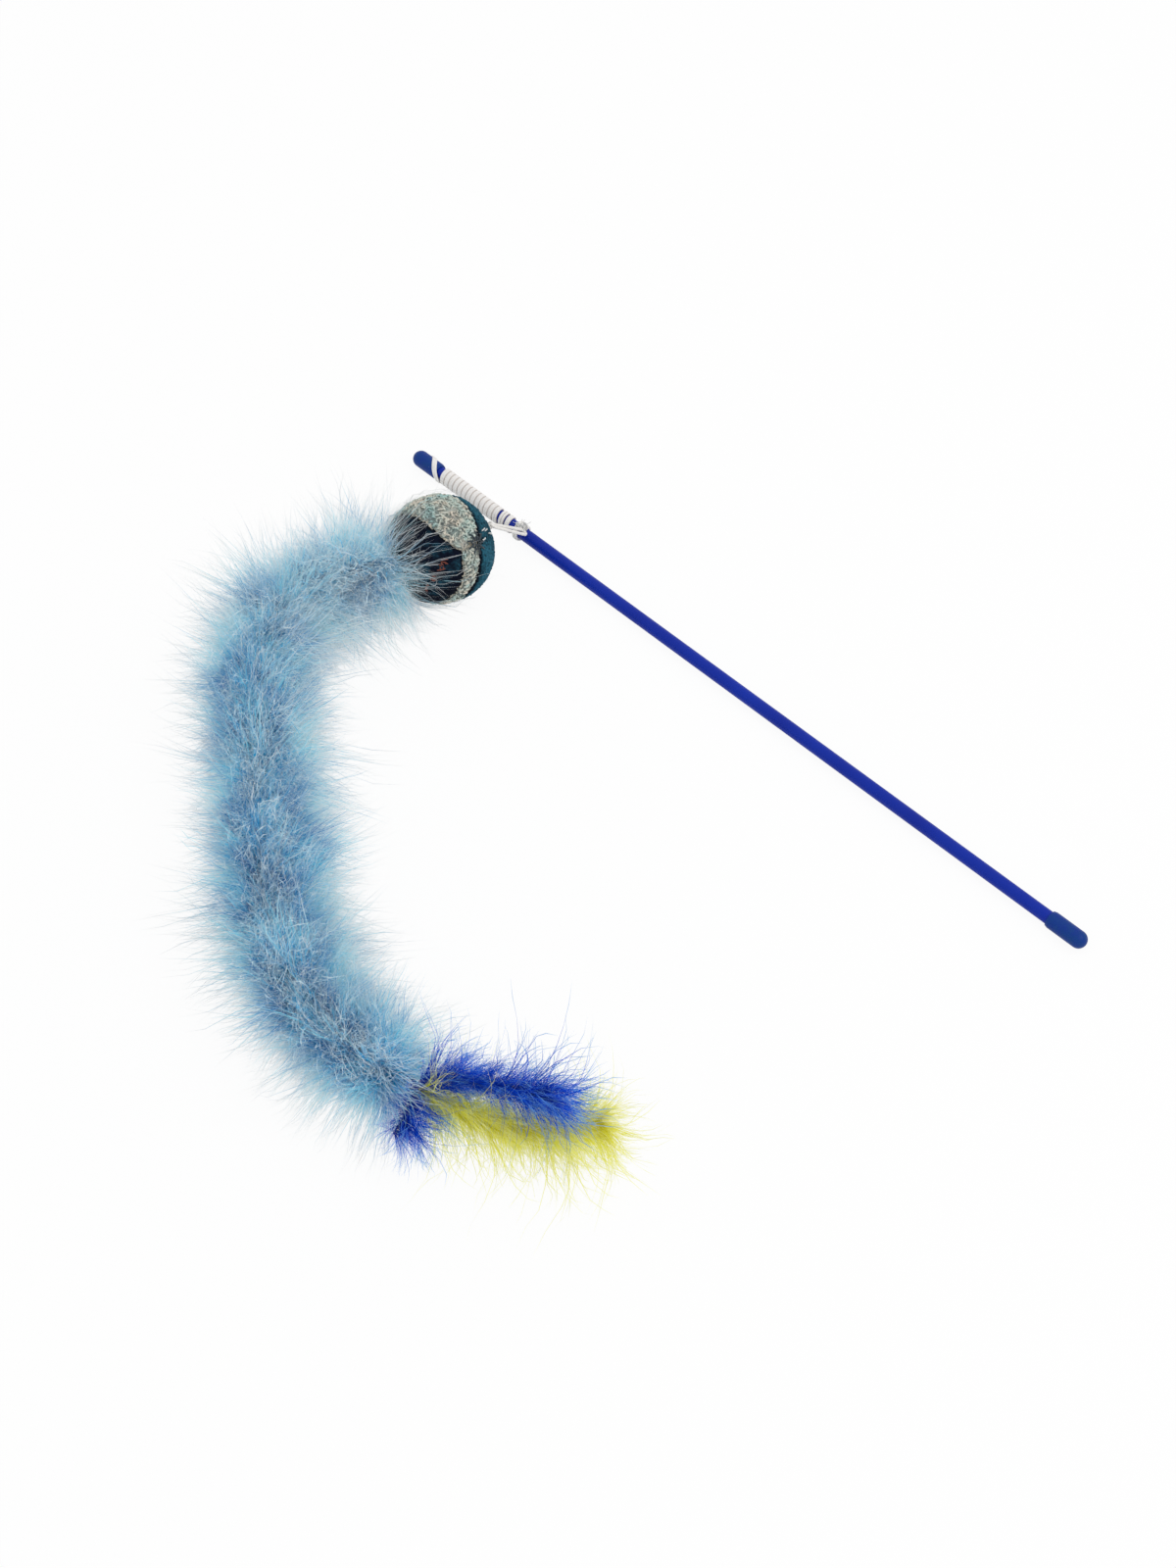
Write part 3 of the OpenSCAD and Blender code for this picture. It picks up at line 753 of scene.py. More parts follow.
def fluff_recipe() -> Recipe:
    """Makes the tree that sets locks of barbs round a line, as on a boa or a feather.

    Returns:
        The recipe. Roll is the spread round the line, Sides is 1 where the locks leave on two
        sides, Lean is the angle towards the line's end, Mouth Lean is what is added at its
        start, the warps bend neighbouring barbs together, Clump is how much the length of
        neighbouring locks swells and sinks, and Favour lengthens the locks that point its way.
        The crest's inputs thin out and size the locks that point along Parting, and deepen their
        colour as painted shade.
    """
    recipe = Recipe("barbs_round_line")
    graph = recipe.graph
    locks = recipe.children("Locks")
    count, seed, sides = recipe.sizes("Count", "Seed", "Sides", kind="NodeSocketInt")
    roll, lean_low, lean_high, mouth_lean, mouth = recipe.sizes(
        "Roll", "Lean Low", "Lean High", "Mouth Lean", "Mouth")
    size_low, size_high, size_power, end_size = recipe.sizes(
        "Size Low", "Size High", "Size Power", "End Size")
    warp, warp_scale, curl, curl_scale, droop = recipe.sizes(
        "Warp", "Warp Scale", "Curl", "Curl Scale", "Droop")
    thin, crest_size, crest_depth, clump, clump_scale = recipe.sizes(
        "Crest Thinning", "Crest Size", "Crest Depth", "Clump", "Clump Scale")
    floor, ball_r = recipe.sizes("Floor", "Ball Radius")
    parting, favour, ball_at = recipe.sizes(
        "Parting", "Favour", "Ball Centre", kind="NodeSocketVector")

    curve = graph.node("GeometryNodeMeshToCurve", {0: recipe.given}).outputs[0]
    points = graph.node("GeometryNodeCurveToPoints", {"Curve": curve, "Count": count})
    along = graph.math("DIVIDE", graph.node("GeometryNodeInputIndex").outputs[0], count)
    upright = graph.node("FunctionNodeAlignRotationToVector", {2: points.outputs["Tangent"]},
                         axis="Z").outputs[0]
    side = graph.times(recipe.pick(sides, seed, 0.0), math.pi)
    round_line = recipe.chance(graph.times(roll, -1.0), roll, seed, 11.0)
    rolled = recipe.turned(upright, 0.0, graph.plus(side, round_line))
    start = graph.math("MAXIMUM", graph.minus(1.0, graph.math("DIVIDE", along, mouth)), 0.0)
    lean = graph.plus(recipe.chance(lean_low, lean_high, seed, 23.0),
                      graph.times(start, mouth_lean))
    leaned = recipe.turned(rolled, graph.times(lean, -1.0), 0.0)
    way = graph.node("FunctionNodeRotateVector", {0: (1.0, 0.0, 0.0), 1: leaned}).outputs[0]
    crest = graph.math("POWER", graph.math("MAXIMUM", graph.dot(way, parting), 0.0), CREST_POWER)
    dropped = graph.math("LESS_THAN", recipe.chance(0.0, 1.0, seed, 71.0),
                         graph.times(crest, thin))
    kept = graph.minus(1.0, dropped)
    root = graph.node("GeometryNodeInputPosition").outputs[0]
    spot = graph.vector("ADD", root, graph.vector("SCALE", way, NEAR))
    lump = graph.times(clump, graph.minus(graph.noise(spot, clump_scale, 1.0), 0.5))
    swell = graph.plus(graph.plus(1.0, lump), graph.dot(way, favour))
    # Painted shade: how far the material brings the root colour up locks that face along Parting.
    depth = graph.times(graph.times(crest, crest_depth), graph.minus(1.0, lump))
    draw = graph.math("POWER", recipe.chance(0.0, 1.0, seed, 37.0), size_power)
    grown = graph.math("MULTIPLY_ADD", draw, graph.minus(size_high, size_low), size_low)
    taper = graph.math("MULTIPLY_ADD", graph.times(along, along), graph.minus(end_size, 1.0), 1.0)
    cropped = graph.math("MULTIPLY_ADD", crest, graph.minus(crest_size, 1.0), 1.0)
    size = graph.times(graph.times(grown, taper), graph.times(cropped, swell))
    marked = graph.node(
        "GeometryNodeStoreNamedAttribute",
        {0: points.outputs["Points"], "Name": "crest", "Value": depth},
        data_type="FLOAT", domain="POINT").outputs[0]
    instances = recipe.spread(marked, locks, seed, 53.0, Selection=kept, Rotation=leaned,
                              Scale=size)
    real = graph.node("GeometryNodeRealizeInstances", {0: instances}).outputs[0]

    place = graph.node("GeometryNodeInputPosition").outputs[0]
    reach = graph.split(recipe.named("UVMap", "FLOAT_VECTOR"))[1]
    free = graph.math("POWER", reach, FREE_POWER)
    broad = graph.vector("SUBTRACT", graph.noise(place, warp_scale, 1.0, 1), HALVES)
    fine = graph.vector("SUBTRACT", graph.noise(place, curl_scale, 1.0, 1), HALVES)
    bent = graph.vector("ADD", graph.vector("SCALE", broad, graph.times(warp, free)),
                        graph.vector("SCALE", fine, graph.times(curl, free)))
    fall = graph.times(graph.times(reach, reach), droop)
    sunk = graph.vector("SUBTRACT", bent, graph.join(0.0, 0.0, fall))
    moved = graph.node("GeometryNodeSetPosition", {0: real, "Offset": sunk}).outputs[0]

    away = graph.vector("SUBTRACT", graph.node("GeometryNodeInputPosition").outputs[0], ball_at)
    far = graph.math("MAXIMUM", graph.length(away), MM)
    push = graph.math("DIVIDE", graph.math("MAXIMUM", far, ball_r), far)
    x, y, z = graph.split(graph.vector("ADD", ball_at, graph.vector("SCALE", away, push)))
    below = graph.press(graph.times(y, -1.0), SIDE_KNEE, SIDE_ROOM)
    height = graph.press(z, TOP_KNEE, TOP_ROOM)
    held = graph.join(x, graph.times(below, -1.0), graph.math("MAXIMUM", height, floor))
    laid = graph.node("GeometryNodeSetPosition", {0: moved, "Position": held}).outputs[0]
    recipe.close(laid)
    return recipe


def cover_recipe() -> Recipe:
    """Makes the tree that covers the outside of a mesh with small loops.

    Returns:
        The recipe, with the inputs Loops, Density, Size Low, Size High and Seed.
    """
    recipe = Recipe("loops_on_cloth")
    graph = recipe.graph
    loops = recipe.children("Loops")
    density, size_low, size_high = recipe.sizes("Density", "Size Low", "Size High")
    seed = recipe.size("Seed", "NodeSocketInt")
    spots = graph.node("GeometryNodeDistributePointsOnFaces",
                       {"Mesh": recipe.given, "Selection": recipe.named("outer", "BOOLEAN"),
                        "Density": density, "Seed": seed})
    turn = recipe.chance(0.0, 2.0 * math.pi, seed, 5.0)
    instances = recipe.spread(
        spots.outputs[0], loops, seed, 9.0, Scale=recipe.chance(size_low, size_high, seed, 17.0),
        Rotation=recipe.turned(spots.outputs["Rotation"], 0.0, turn))
    both = graph.node("GeometryNodeJoinGeometry")
    graph.tree.links.new(recipe.given, both.inputs[0])
    graph.tree.links.new(instances, both.inputs[0])
    recipe.close(both.outputs[0])
    return recipe


# Locks and loops that the trees repeat


@dataclass(frozen=True)
class Lock:
    """A lock of barbs that leaves one root along +X: its barbs fan out and gather again.

    Bend and wave are shares of the length: how far a barb hooks sideways, and how far it swings.
    Curl is the turn in radians that a barb makes between the share curl_from and its tip. Lengths
    and parts are the spread of the barbs' lengths and curls, swings is the rate of their wave, and
    the middle of a lock that gathers is middle_l long.
    """

    barbs: int
    length: float
    fan: float
    gather: float
    bend: float
    width: float
    seed: int
    wave: float = 0.0
    taper: float = 0.6
    stations: Row = (0.0, 0.3, 0.56, 0.8)
    curl: float = 0.0
    curl_from: float = 0.5
    lengths: Pair = (0.72, 1.08)
    parts: Pair = (0.45, 1.0)
    swings: float = 7.0
    bend_power: float = 2.2
    middle_l: float = 1.02

    def arc(self, share: float, part: float) -> Pair:
        """Returns how far a barb has come ahead and sideways, in shares of its length.

        Args:
            share: The place along the barb.
            part: How much of the lock's curl this barb has.

        Returns:
            The way ahead and the way sideways.
        """
        past = max(share - self.curl_from, 0.0)
        rate = self.curl * part / (1.0 - self.curl_from)
        if rate * past == 0.0:
            return share, 0.0
        return self.curl_from + math.sin(rate * past) / rate, (1.0 - math.cos(rate * past)) / rate

    def mesh(self, name: str) -> Mesh:
        """Makes the ribbons of the lock, each with its tone and its length as UV.

        Args:
            name: The mesh's name.

        Returns:
            The mesh.
        """
        draw = np.random.default_rng(self.seed)
        points: list[np.ndarray] = []
        faces: list[tuple[int, ...]] = []
        marks: list[Pair] = []
        lean = unit(np.array([0.0, *draw.normal(size=2)]))
        for _ in range(self.barbs):
            length = self.length * draw.uniform(*self.lengths)
            polar = self.fan * math.sqrt(draw.uniform())
            turn = draw.uniform(0.0, 2.0 * math.pi)
            way = np.array([math.cos(polar), math.sin(polar) * math.cos(turn),
                            math.sin(polar) * math.sin(turn)])
            hook = unit(np.array([0.0, *draw.normal(size=2)])) * draw.uniform(0.0, self.bend)
            flat = unit(np.cross(way, draw.normal(size=3)))
            tone, phase = draw.uniform(), draw.uniform(0.0, 2.0 * math.pi)
            side = unit(np.cross(way, draw.normal(size=3)))
            part = draw.uniform(*self.parts)
            first = len(points)
            for share in (*self.stations, 1.0):
                swing = self.wave * share * math.sin(self.swings * share + phase)
                ahead, aside = self.arc(share, part)
                bent = share ** self.bend_power
                own = way * ahead + side * aside + flat * swing + (hook + lean * self.bend) * bent
                middle = np.array([share * self.middle_l, 0.0, 0.0]) + lean * self.bend * bent
                pull = self.gather * ease(share)
                spot = (own * (1.0 - pull) + middle * pull) * length
                half = flat * self.width * (1.0 - self.taper * share) / 2.0
                if share < 1.0:
                    points += [spot - half, spot + half]
                    marks += [(tone, share), (tone, share)]
                else:
                    points.append(spot)
                    marks.append((tone, share))
            steps = len(self.stations)
            for i in range(steps - 1):
                a = first + 2 * i
                faces.append((a, a + 1, a + 3, a + 2))
            a = first + 2 * (steps - 1)
            faces.append((a, a + 1, a + 2))
        mesh = bpy.data.meshes.new(name)
        mesh.from_pydata([tuple(point) for point in points], [], faces)
        layer = mesh.uv_layers.new(name="UVMap")
        for loop in mesh.loops:
            layer.data[loop.index].uv = marks[loop.vertex_index]
        return mesh


@dataclass(frozen=True)
class Loop:
    """A small loop of yarn that stands on cloth, open at its foot.

    It runs on for whole radians from first, where 0 is level and ahead.
    """

    radius: float
    yarn: float
    lean: float
    tall: float
    steps: int = 9
    sides: int = 4
    first: float = -0.25 * math.pi
    whole: float = 1.5 * math.pi

    def mesh(self, name: str) -> Mesh:
        """Makes the closed tube of the loop.

        Args:
            name: The mesh's name.

        Returns:
            The mesh.
        """
        points: list[Triple] = []
        faces: list[tuple[int, ...]] = []
        for i in range(self.steps):
            turn = self.first + self.whole * i / (self.steps - 1)
            out = np.array([math.cos(turn), 0.0, math.sin(turn)])
            centre = out * self.radius
            centre[2] = centre[2] * self.tall
            centre[1] = math.sin(self.lean) * centre[2] + self.yarn * math.cos(turn)
            for k in range(self.sides):
                angle = 2.0 * math.pi * k / self.sides
                rim = out * math.cos(angle) + np.array([0.0, math.sin(angle), 0.0])
                spot = centre + rim * self.yarn
                points.append((float(spot[0]), float(spot[1]), float(spot[2])))
        for i in range(self.steps - 1):
            for k in range(self.sides):
                a, b = i * self.sides + k, i * self.sides + (k + 1) % self.sides
                faces.append((a, b, b + self.sides, a + self.sides))
        faces.append(tuple(range(self.sides - 1, -1, -1)))
        last = (self.steps - 1) * self.sides
        faces.append(tuple(range(last, last + self.sides)))
        mesh = bpy.data.meshes.new(name)
        mesh.from_pydata(points, [], faces)
        return mesh


class Stock:
    """A set of small shapes that a tree repeats, kept out of the scene and cleared at the end."""

    def __init__(self, name: str, **shapes: Lock | Loop) -> None:
        """Keeps the shapes in a collection of their own.

        Args:
            name: The set's name.
            shapes: The shapes by name.
        """
        self.group = bpy.data.collections.new(name)
        self.holders = [bpy.data.objects.new(key, shape.mesh(key))
                        for key, shape in shapes.items()]
        for holder in self.holders:
            self.group.objects.link(holder)

    def clear(self) -> None:
        """Removes the shapes, whose copies are real by then."""
        for holder in self.holders:
            mesh = holder.data
            bpy.data.objects.remove(holder)
            bpy.data.meshes.remove(mesh)
        bpy.data.collections.remove(self.group)


# The wand's own sizes, in the values that the solids have


@dataclass(frozen=True)
class WandSizes:
    """Sizes of the rod, its caps and the elastic on it."""

    rod_r: float = 3.0 * MM
    cap_r: float = 3.93 * MM
    tip_end: float = -389.185 * MM
    tip_mouth: float = -372.685 * MM
    band_w: float = 2.35 * MM
    band_t: float = 1.15 * MM
    slant_l: float = 9.0 * MM
    slant_turns: float = 0.5
    first_share: float = 0.86
    close_turns: int = 13
    last_close: float = 13.25
    wind_turns: float = 15.75
    close_pitch: float = 2.85 * MM
    gap_pitch: float = 4.2 * MM
    spaced_pitch: float = 3.6 * MM
    tuck_r: float = 1.7 * MM
    tuck_w: float = 1.3 * MM
    taper_turns: float = 1.2
    step_share: float = 0.15
    hitch_end: float = 73.2 * MM
    hitch_pitch: float = 3.2 * MM
    hitch_loops: float = 1.333
    curl_r: float = 2.0 * MM
    curl_d: float = 1.2 * MM

    @property
    def hitch_x(self) -> float:
        """Where the bare rod begins beyond the hitch."""
        return self.tip_end + self.hitch_end

    @property
    def lay_rod(self) -> float:
        """Radius of the elastic's middle where it lies on the rod."""
        return self.rod_r + HAIR + self.band_t / 2.0

    @property
    def lay_cap(self) -> float:
        """Radius of the elastic's middle where it lies on the tip cap."""
        return self.cap_r + HAIR + self.band_t / 2.0


@dataclass(frozen=True)
class BallSizes:
    """Sizes and place of the ball and of the cord through it."""

    radius: float = 25.0 * MM
    head: float = -104.0
    centre: Triple = (-324.785 * MM, -45.8 * MM, 21.07 * MM)
    patch_t: float = 1.4 * MM
    patch_head: float = 15.5
    patch_slope: float = 37.0
    pole_hole_r: float = 1.2 * MM
    cord_hole_r: float = 3.2 * MM
    knot_r: float = 1.9 * MM
    cord_r: float = 1.2 * MM
    thread_r: float = 0.35 * MM

    @property
    def middle(self) -> np.ndarray:
        """The ball's centre."""
        return np.array(self.centre)

    @property
    def axis(self) -> np.ndarray:
        """The way of the cord through the ball, towards the boa."""
        return heading(self.head)

    @property
    def knot_out(self) -> float:
        """Distance of each knot's middle from the ball's centre."""
        return self.radius + self.knot_r + 2.0 * HAIR

    def way(self, turn: float, polar: float) -> np.ndarray:
        """Returns the way out of the ball at a place of its cover.

        Args:
            turn: Degrees round the line through the patches' poles.
            polar: Degrees from the upper pole.

        Returns:
            The unit vector.
        """
        slope = self.patch_slope * DEGREE
        level = heading(self.patch_head)
        pole = math.cos(slope) * level + math.sin(slope) * UP
        first = math.sin(slope) * level - math.cos(slope) * UP
        second = heading(self.patch_head + 90.0)
        across = math.cos(turn * DEGREE) * first + math.sin(turn * DEGREE) * second
        return math.sin(polar * DEGREE) * across + math.cos(polar * DEGREE) * pole

    def on_ball(self, turn: float, polar: float, out: float) -> np.ndarray:
        """Returns a point on the ball, at distance out from its centre."""
        return self.middle + self.way(turn, polar) * out


@dataclass(frozen=True)
class BoaSizes:
    """Sizes and route of the boa's links and of the tail."""

    link_l: float = 44.4 * MM
    link_turns: Row = (51.0, 41.0, 6.0, 0.0, 6.0, 22.0, 24.0)
    head: float = -137.0
    string_r: float = 1.0 * MM
    shares: Row = (1.02, 1.06, 1.02, 1.0, 1.0, 0.98, 0.92)
    link_gap: float = 0.45 * MM
    binding_r: float = 2.5 * MM
    binding_l: float = 9.0 * MM
    quill_r: float = 0.7 * MM
    parting: Triple = (0.28, -0.29, 0.915)
    # Depths: painted shade on each link's near side, which also sets how much its crest thins.
    depths: Row = (0.1, 0.4, 1.3, 0.95, 1.35, 1.1, 1.0)
    fuller: Row = (0.06, 0.0, -0.11, -0.11, -0.1, -0.07, -0.05)

    def link_head(self, k: int) -> float:
        """Returns the heading in which link k starts."""
        return self.head + sum(self.link_turns[:k])

    def outer(self, k: int) -> np.ndarray:
        """Returns the way to the outer side of the boa's curve at link k, as long as its pull."""
        return heading(self.link_head(k) + self.link_turns[k] / 2.0 - 90.0) * self.fuller[k]

    def along(self, start: np.ndarray, k: int, s: float) -> np.ndarray:
        """Finds a point of a link.

        Args:
            start: Where the link starts.
            k: The link's number, from 0.
            s: The distance from its start.

        Returns:
            The point.
        """
        turn = self.link_turns[k]
        if turn == 0.0:
            return start + s * heading(self.link_head(k))
        half = turn * s / self.link_l / 2.0
        chord = 2.0 * self.link_l / (turn * DEGREE) * math.sin(half * DEGREE)
        return start + chord * heading(self.link_head(k) + half)

    def link_start(self, k: int, first: np.ndarray) -> np.ndarray:
        """Finds where a link starts.

        Args:
            k: The link's number, from 0.
            first: Where the first link starts.

        Returns:
            The point.
        """
        start = first
        for i in range(k):
            start = self.along(start, i, self.link_l)
        return start


WAND = WandSizes()
BALL = BallSizes()
BOA = BoaSizes()
FAR_KNOT = BALL.middle + BALL.axis * BALL.knot_out
NEAR_KNOT = BALL.middle - BALL.axis * BALL.knot_out
FLOOR_Z = float(CAD_LOW[2])


def dress(piece: Piece, body: str, slot: str, *nodes: str) -> Piece:
    """Makes a piece ride on its body in place of the solids that it stands for.

    Args:
        piece: The piece.
        body: The body that it moves with.
        slot: The record's material slot. It is not used.
        nodes: The nodes that it replaces.

    Returns:
        The piece.
    """
    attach(piece, body)
    if nodes:
        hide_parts(*nodes)
    return piece


# Rod and caps


@dataclass
class Stick:
    """The rod and its two caps, whose solids stay and get their finishes."""

    finishes: dict[str, Finish] = field(default_factory=lambda: {
        "rod": ROD_BLUE, "grip_cap": CAP_BLUE, "tip_cap": CAP_BLUE})

    def make(self) -> None:
        """Gives each solid its material."""
        made: dict[str, Material] = {}
        for node, finish in self.finishes.items():
            if finish.slot not in made:
                made[finish.slot] = finish.material()
            mesh = frame["nodes"][node].data
            mesh.materials.clear()
            mesh.materials.append(made[finish.slot])
            LOG.info("%s: finish %s", node, finish.slot)


# Elastic cord


@dataclass
class Elastic:
    """The doubled elastic: winding, hitch with its lead, free end, and the cord in the ball."""

    sweep: Recipe
    steps_per_turn: int = 40
    strand_share: float = 0.42
    strand_r: float = 0.78 * MM
    press: float = 0.68
    loose: float = 0.55
    filler_r: float = 0.45 * MM
    filler_ends: float = 0.5
    tuck_steps: int = 6
    nose_a: float = 116.0
    nose_r: float = 1.5 * MM
    nose_rise: float = 1.1 * MM
    lead_r: float = 0.72 * MM
    lead_share: float = 0.95
    lead_narrow: float = 0.55
    lead_power: float = 1.5
    curl_at: Triple = (0.35, 1.0 * MM, 84.0)
    curl_out: float = 72.0
    curl_from: float = -120.0
    curl_to: float = 130.0
    knot_at: Triple = (2.8 * MM, 1.3 * MM, 103.0)
    knot_size: Triple = (0.85 * MM, 0.5 * MM, 0.4 * MM)
    knot_cord_r: float = 0.5 * MM
    frays: int = 16
    fray_way: Triple = (0.6, 0.4, 0.4)
    fray_l: Pair = (2.0, 3.4)
    fray_share: float = 0.2
    end_knot_in: float = 0.55 * MM
    end_knot_share: float = 0.52
    finish: Material = field(init=False)

    def on_rod(self, x: float, r: float, degrees: float) -> np.ndarray:
        """Returns a point round the rod, counted from +Y over the top."""
        turn = degrees * DEGREE
        return np.array([x, r * math.cos(turn), r * math.sin(turn)])

    def lie(self, x: float, r: float, degrees: float, width: float) -> Station:
        """Returns the middle, the way out of the rod and the width of the cord at a place."""
        return self.on_rod(x, r, degrees), self.on_rod(0.0, 1.0, degrees), width

    def wind_x(self, t: float) -> float:
        """Finds the winding's place along the rod.

        Args:
            t: How many turns it has made.

        Returns:
            The place along X.
        """
        first = WAND.tip_mouth + WAND.band_w * WAND.first_share
        if t < WAND.slant_turns:
            start = WAND.tip_mouth - WAND.slant_l
            return start + (first - start) * t / WAND.slant_turns
        close_x = first + (min(t, WAND.last_close) - WAND.slant_turns) * WAND.close_pitch
        past = t - WAND.last_close
        return (close_x + min(max(past, 0.0), 1.0) * WAND.gap_pitch
                + max(past - 1.0, 0.0) * WAND.spaced_pitch)

    def strands(self, lay: Lay) -> list[np.ndarray]:
        """Splits a lay of the doubled cord into its two strands.

        Args:
            lay: The middle, the way out of the rod and the width at each point.

        Returns:
            The points of both strands.
        """
        middles = np.array([row[0] for row in lay])
        outs = np.array([row[1] for row in lay])
        widths = np.array([row[2] for row in lay])[:, None]
        ways = unit(np.gradient(middles, axis=0))
        sides = unit(np.cross(ways, outs))
        return [middles + sides * widths * sign * self.strand_share for sign in (-0.5, 0.5)]

    def winding(self) -> Piece:
        """Makes the winding on the tip cap and the rod.

        Returns:
            The piece.
        """
        turns = WAND.wind_turns
        count = round(turns * self.steps_per_turn)
        lay = []
        for i in range(count + 1):
            t = i / self.steps_per_turn
            rise = ease((t - WAND.slant_turns) / WAND.step_share)
            r = WAND.lay_cap + (WAND.lay_rod - WAND.lay_cap) * rise
            narrow = ease((t - turns + WAND.taper_turns) / WAND.taper_turns)
            spread = 1.0 + self.loose * ease(t - WAND.close_turns)
            width = (WAND.band_w + (WAND.tuck_w - WAND.band_w) * narrow) * spread
            lay.append(self.lie(self.wind_x(t), r, t * 360.0, width))
        end_x, end_a = self.wind_x(turns), turns * 360.0
        for i in range(1, self.tuck_steps + 1):
            b = 90.0 / self.tuck_steps * i * DEGREE
            a = end_a + WAND.tuck_r * math.sin(b) / WAND.lay_rod / DEGREE
            x = end_x + WAND.tuck_r * (1.0 - math.cos(b))
            lay.append(self.lie(x, WAND.lay_rod, a, WAND.tuck_w))
        a = end_a + WAND.tuck_r / WAND.lay_rod / DEGREE
        hitch_far = WAND.hitch_x - WAND.band_w - WAND.hitch_loops * WAND.hitch_pitch
        lay.append(self.lie(hitch_far - HAIR, WAND.lay_rod, a, WAND.tuck_w))
        between = np.arange(WAND.slant_turns + self.filler_ends,
                            WAND.close_turns - self.filler_ends, 1.0 / self.steps_per_turn)
        filler = np.array([
            self.on_rod(self.wind_x(t) + WAND.close_pitch / 2.0, WAND.rod_r + self.filler_r,
                        t * 360.0) for t in between])
        piece = self.cord("elastic_turns", lay, filler, self.filler_r, WOUND.material())
        self.flatten(piece)
        return piece

    def cord(self, name: str, lay: Lay, other: np.ndarray, other_r: float,
             finish: Material) -> Piece:
        """Makes both strands of a lay as one piece, with another line beside them.

        Args:
            name: The piece's name.
            lay: The middle, the way out of the rod and the width at each point.
            other: The points of the other line.
            other_r: The other line's radius.
            finish: The material.

        Returns:
            The piece.
        """
        widths = np.minimum(np.array([row[2] for row in lay]) / WAND.band_w, 1.0)
        thick = [0.5 + 0.5 * widths] * 2 + [np.full(len(other), other_r / self.strand_r)]
        return cords(self.sweep, name, [*self.strands(lay), other], self.strand_r, 14, finish,
                     thick)

    def flatten(self, piece: Piece) -> None:
        """Presses a piece that is wound on the rod flat against it.

        Args:
            piece: The piece.
        """
        count = len(piece.data.vertices)
        spots = np.empty(count * 3)
        piece.data.vertices.foreach_get("co", spots)
        spots = spots.reshape(count, 3)
        r = np.hypot(spots[:, 1], spots[:, 2])
        spots[:, 1:] *= ((WAND.rod_r + (r - WAND.rod_r) * self.press) / r)[:, None]
        piece.data.vertices.foreach_set("co", spots.ravel())

    def hitch(self) -> Piece:
        """Makes the loops of the hitch, and the lead to the near knot as a bight.

        Returns:
            The piece.
        """
        knot_a = math.atan2(NEAR_KNOT[2], NEAR_KNOT[1]) / DEGREE
        reach = math.hypot(NEAR_KNOT[1], NEAR_KNOT[2])
        leave_a = knot_a - math.acos(WAND.lay_rod / reach) / DEGREE
        leave_x = WAND.hitch_x - WAND.band_w / 2.0
        count = round(WAND.hitch_loops * self.steps_per_turn)
        lay = []
        for i in range(count + 1):
            left = WAND.hitch_loops * (1.0 - i / count)
            a = leave_a + self.nose_a * 0.5 - left * 360.0
            lay.append(self.lie(leave_x - WAND.hitch_pitch * left, WAND.lay_rod, a, WAND.band_w))
        out = self.on_rod(0.0, 1.0, self.nose_a)
        nose = self.on_rod(leave_x + self.nose_r, WAND.lay_rod + self.nose_rise, self.nose_a)
        lead = NEAR_KNOT - nose
        way, side = unit(lead), unit(np.cross(lead, out))
        shares = np.linspace(self.lead_share, 0.0, 16)[:, None]
        apart = side * (self.nose_r * (1.0 - self.lead_narrow * shares ** self.lead_power))
        a = np.linspace(0.0, math.pi, 14)[1:-1, None]
        bight = nose + (side * np.cos(a) - way * np.sin(a)) * self.nose_r
        there, back = nose + lead * shares + apart, nose + lead * shares - apart
        return self.cord("elastic_lead", lay, np.concatenate([there, bight, back[::-1]]),
                         self.lead_r, self.finish)

    def curl(self) -> Piece:
        """Makes the free end that curls beside the knot.

        Returns:
            The piece.
        """
        back, rise, degrees = self.curl_at
        centre = self.on_rod(WAND.hitch_x - WAND.hitch_pitch * back, WAND.cap_r + rise, degrees)
        out, side = self.on_rod(0.0, 1.0, self.curl_out), np.array([1.0, 0.0, 0.0])
        turns = np.linspace(self.curl_from, self.curl_to, 40)[:, None] * DEGREE
        ring = np.cos(turns) * side + np.sin(turns) * out
        lines = [centre + (0.7 * WAND.curl_r + strand * 0.5 * WAND.curl_d) * ring
                 for strand in (-0.5, 0.5)]
        return cords(self.sweep, "elastic_free_end", lines, WAND.curl_d * 0.3, 10,
                     FRAY.material())

    def knot(self) -> Piece:
        """Makes the small frayed knot that lies over the hitch's loops.

        Returns:
            The piece.
        """
        draw = np.random.default_rng(11)
        back, rise, degrees = self.knot_at
        middle = self.on_rod(WAND.hitch_x - back, WAND.lay_rod + rise, degrees)
        lines = [middle + trefoil(60) * np.array(self.knot_size)]
        thick = [np.ones(60)]
        shares = np.linspace(0.0, 1.0, 6)[:, None]
        for _ in range(self.frays):
            way = unit(draw.normal(size=3) + np.array(self.fray_way))
            hook = draw.normal(size=3) * 0.5
            lines.append(middle + (way * shares + hook * shares ** 2)
                         * draw.uniform(*self.fray_l) * MM)
            thick.append(np.full(6, self.fray_share))
        return cords(self.sweep, "elastic_knot", lines, self.knot_cord_r, 8, FRAY.material(),
                     thick)

    def core(self) -> Piece:
        """Makes the cord through the ball and the overhand knots at its ends.

        Returns:
            The piece.
        """
        lines = [np.linspace(NEAR_KNOT, FAR_KNOT, 12)]
        thick = [np.ones(12)]
        side = heading(BALL.head + 90.0)
        loop = trefoil(72) / 3.0
        spots = loop[:, :1] * side + loop[:, 1:2] * UP + loop[:, 2:] * BALL.axis
        for middle in (NEAR_KNOT, FAR_KNOT):
            lines.append(middle + spots * (BALL.knot_r - self.end_knot_in))
            thick.append(np.full(72, self.end_knot_share))
        return cords(self.sweep, "elastic_core", lines, BALL.cord_r, 12, self.finish, thick)

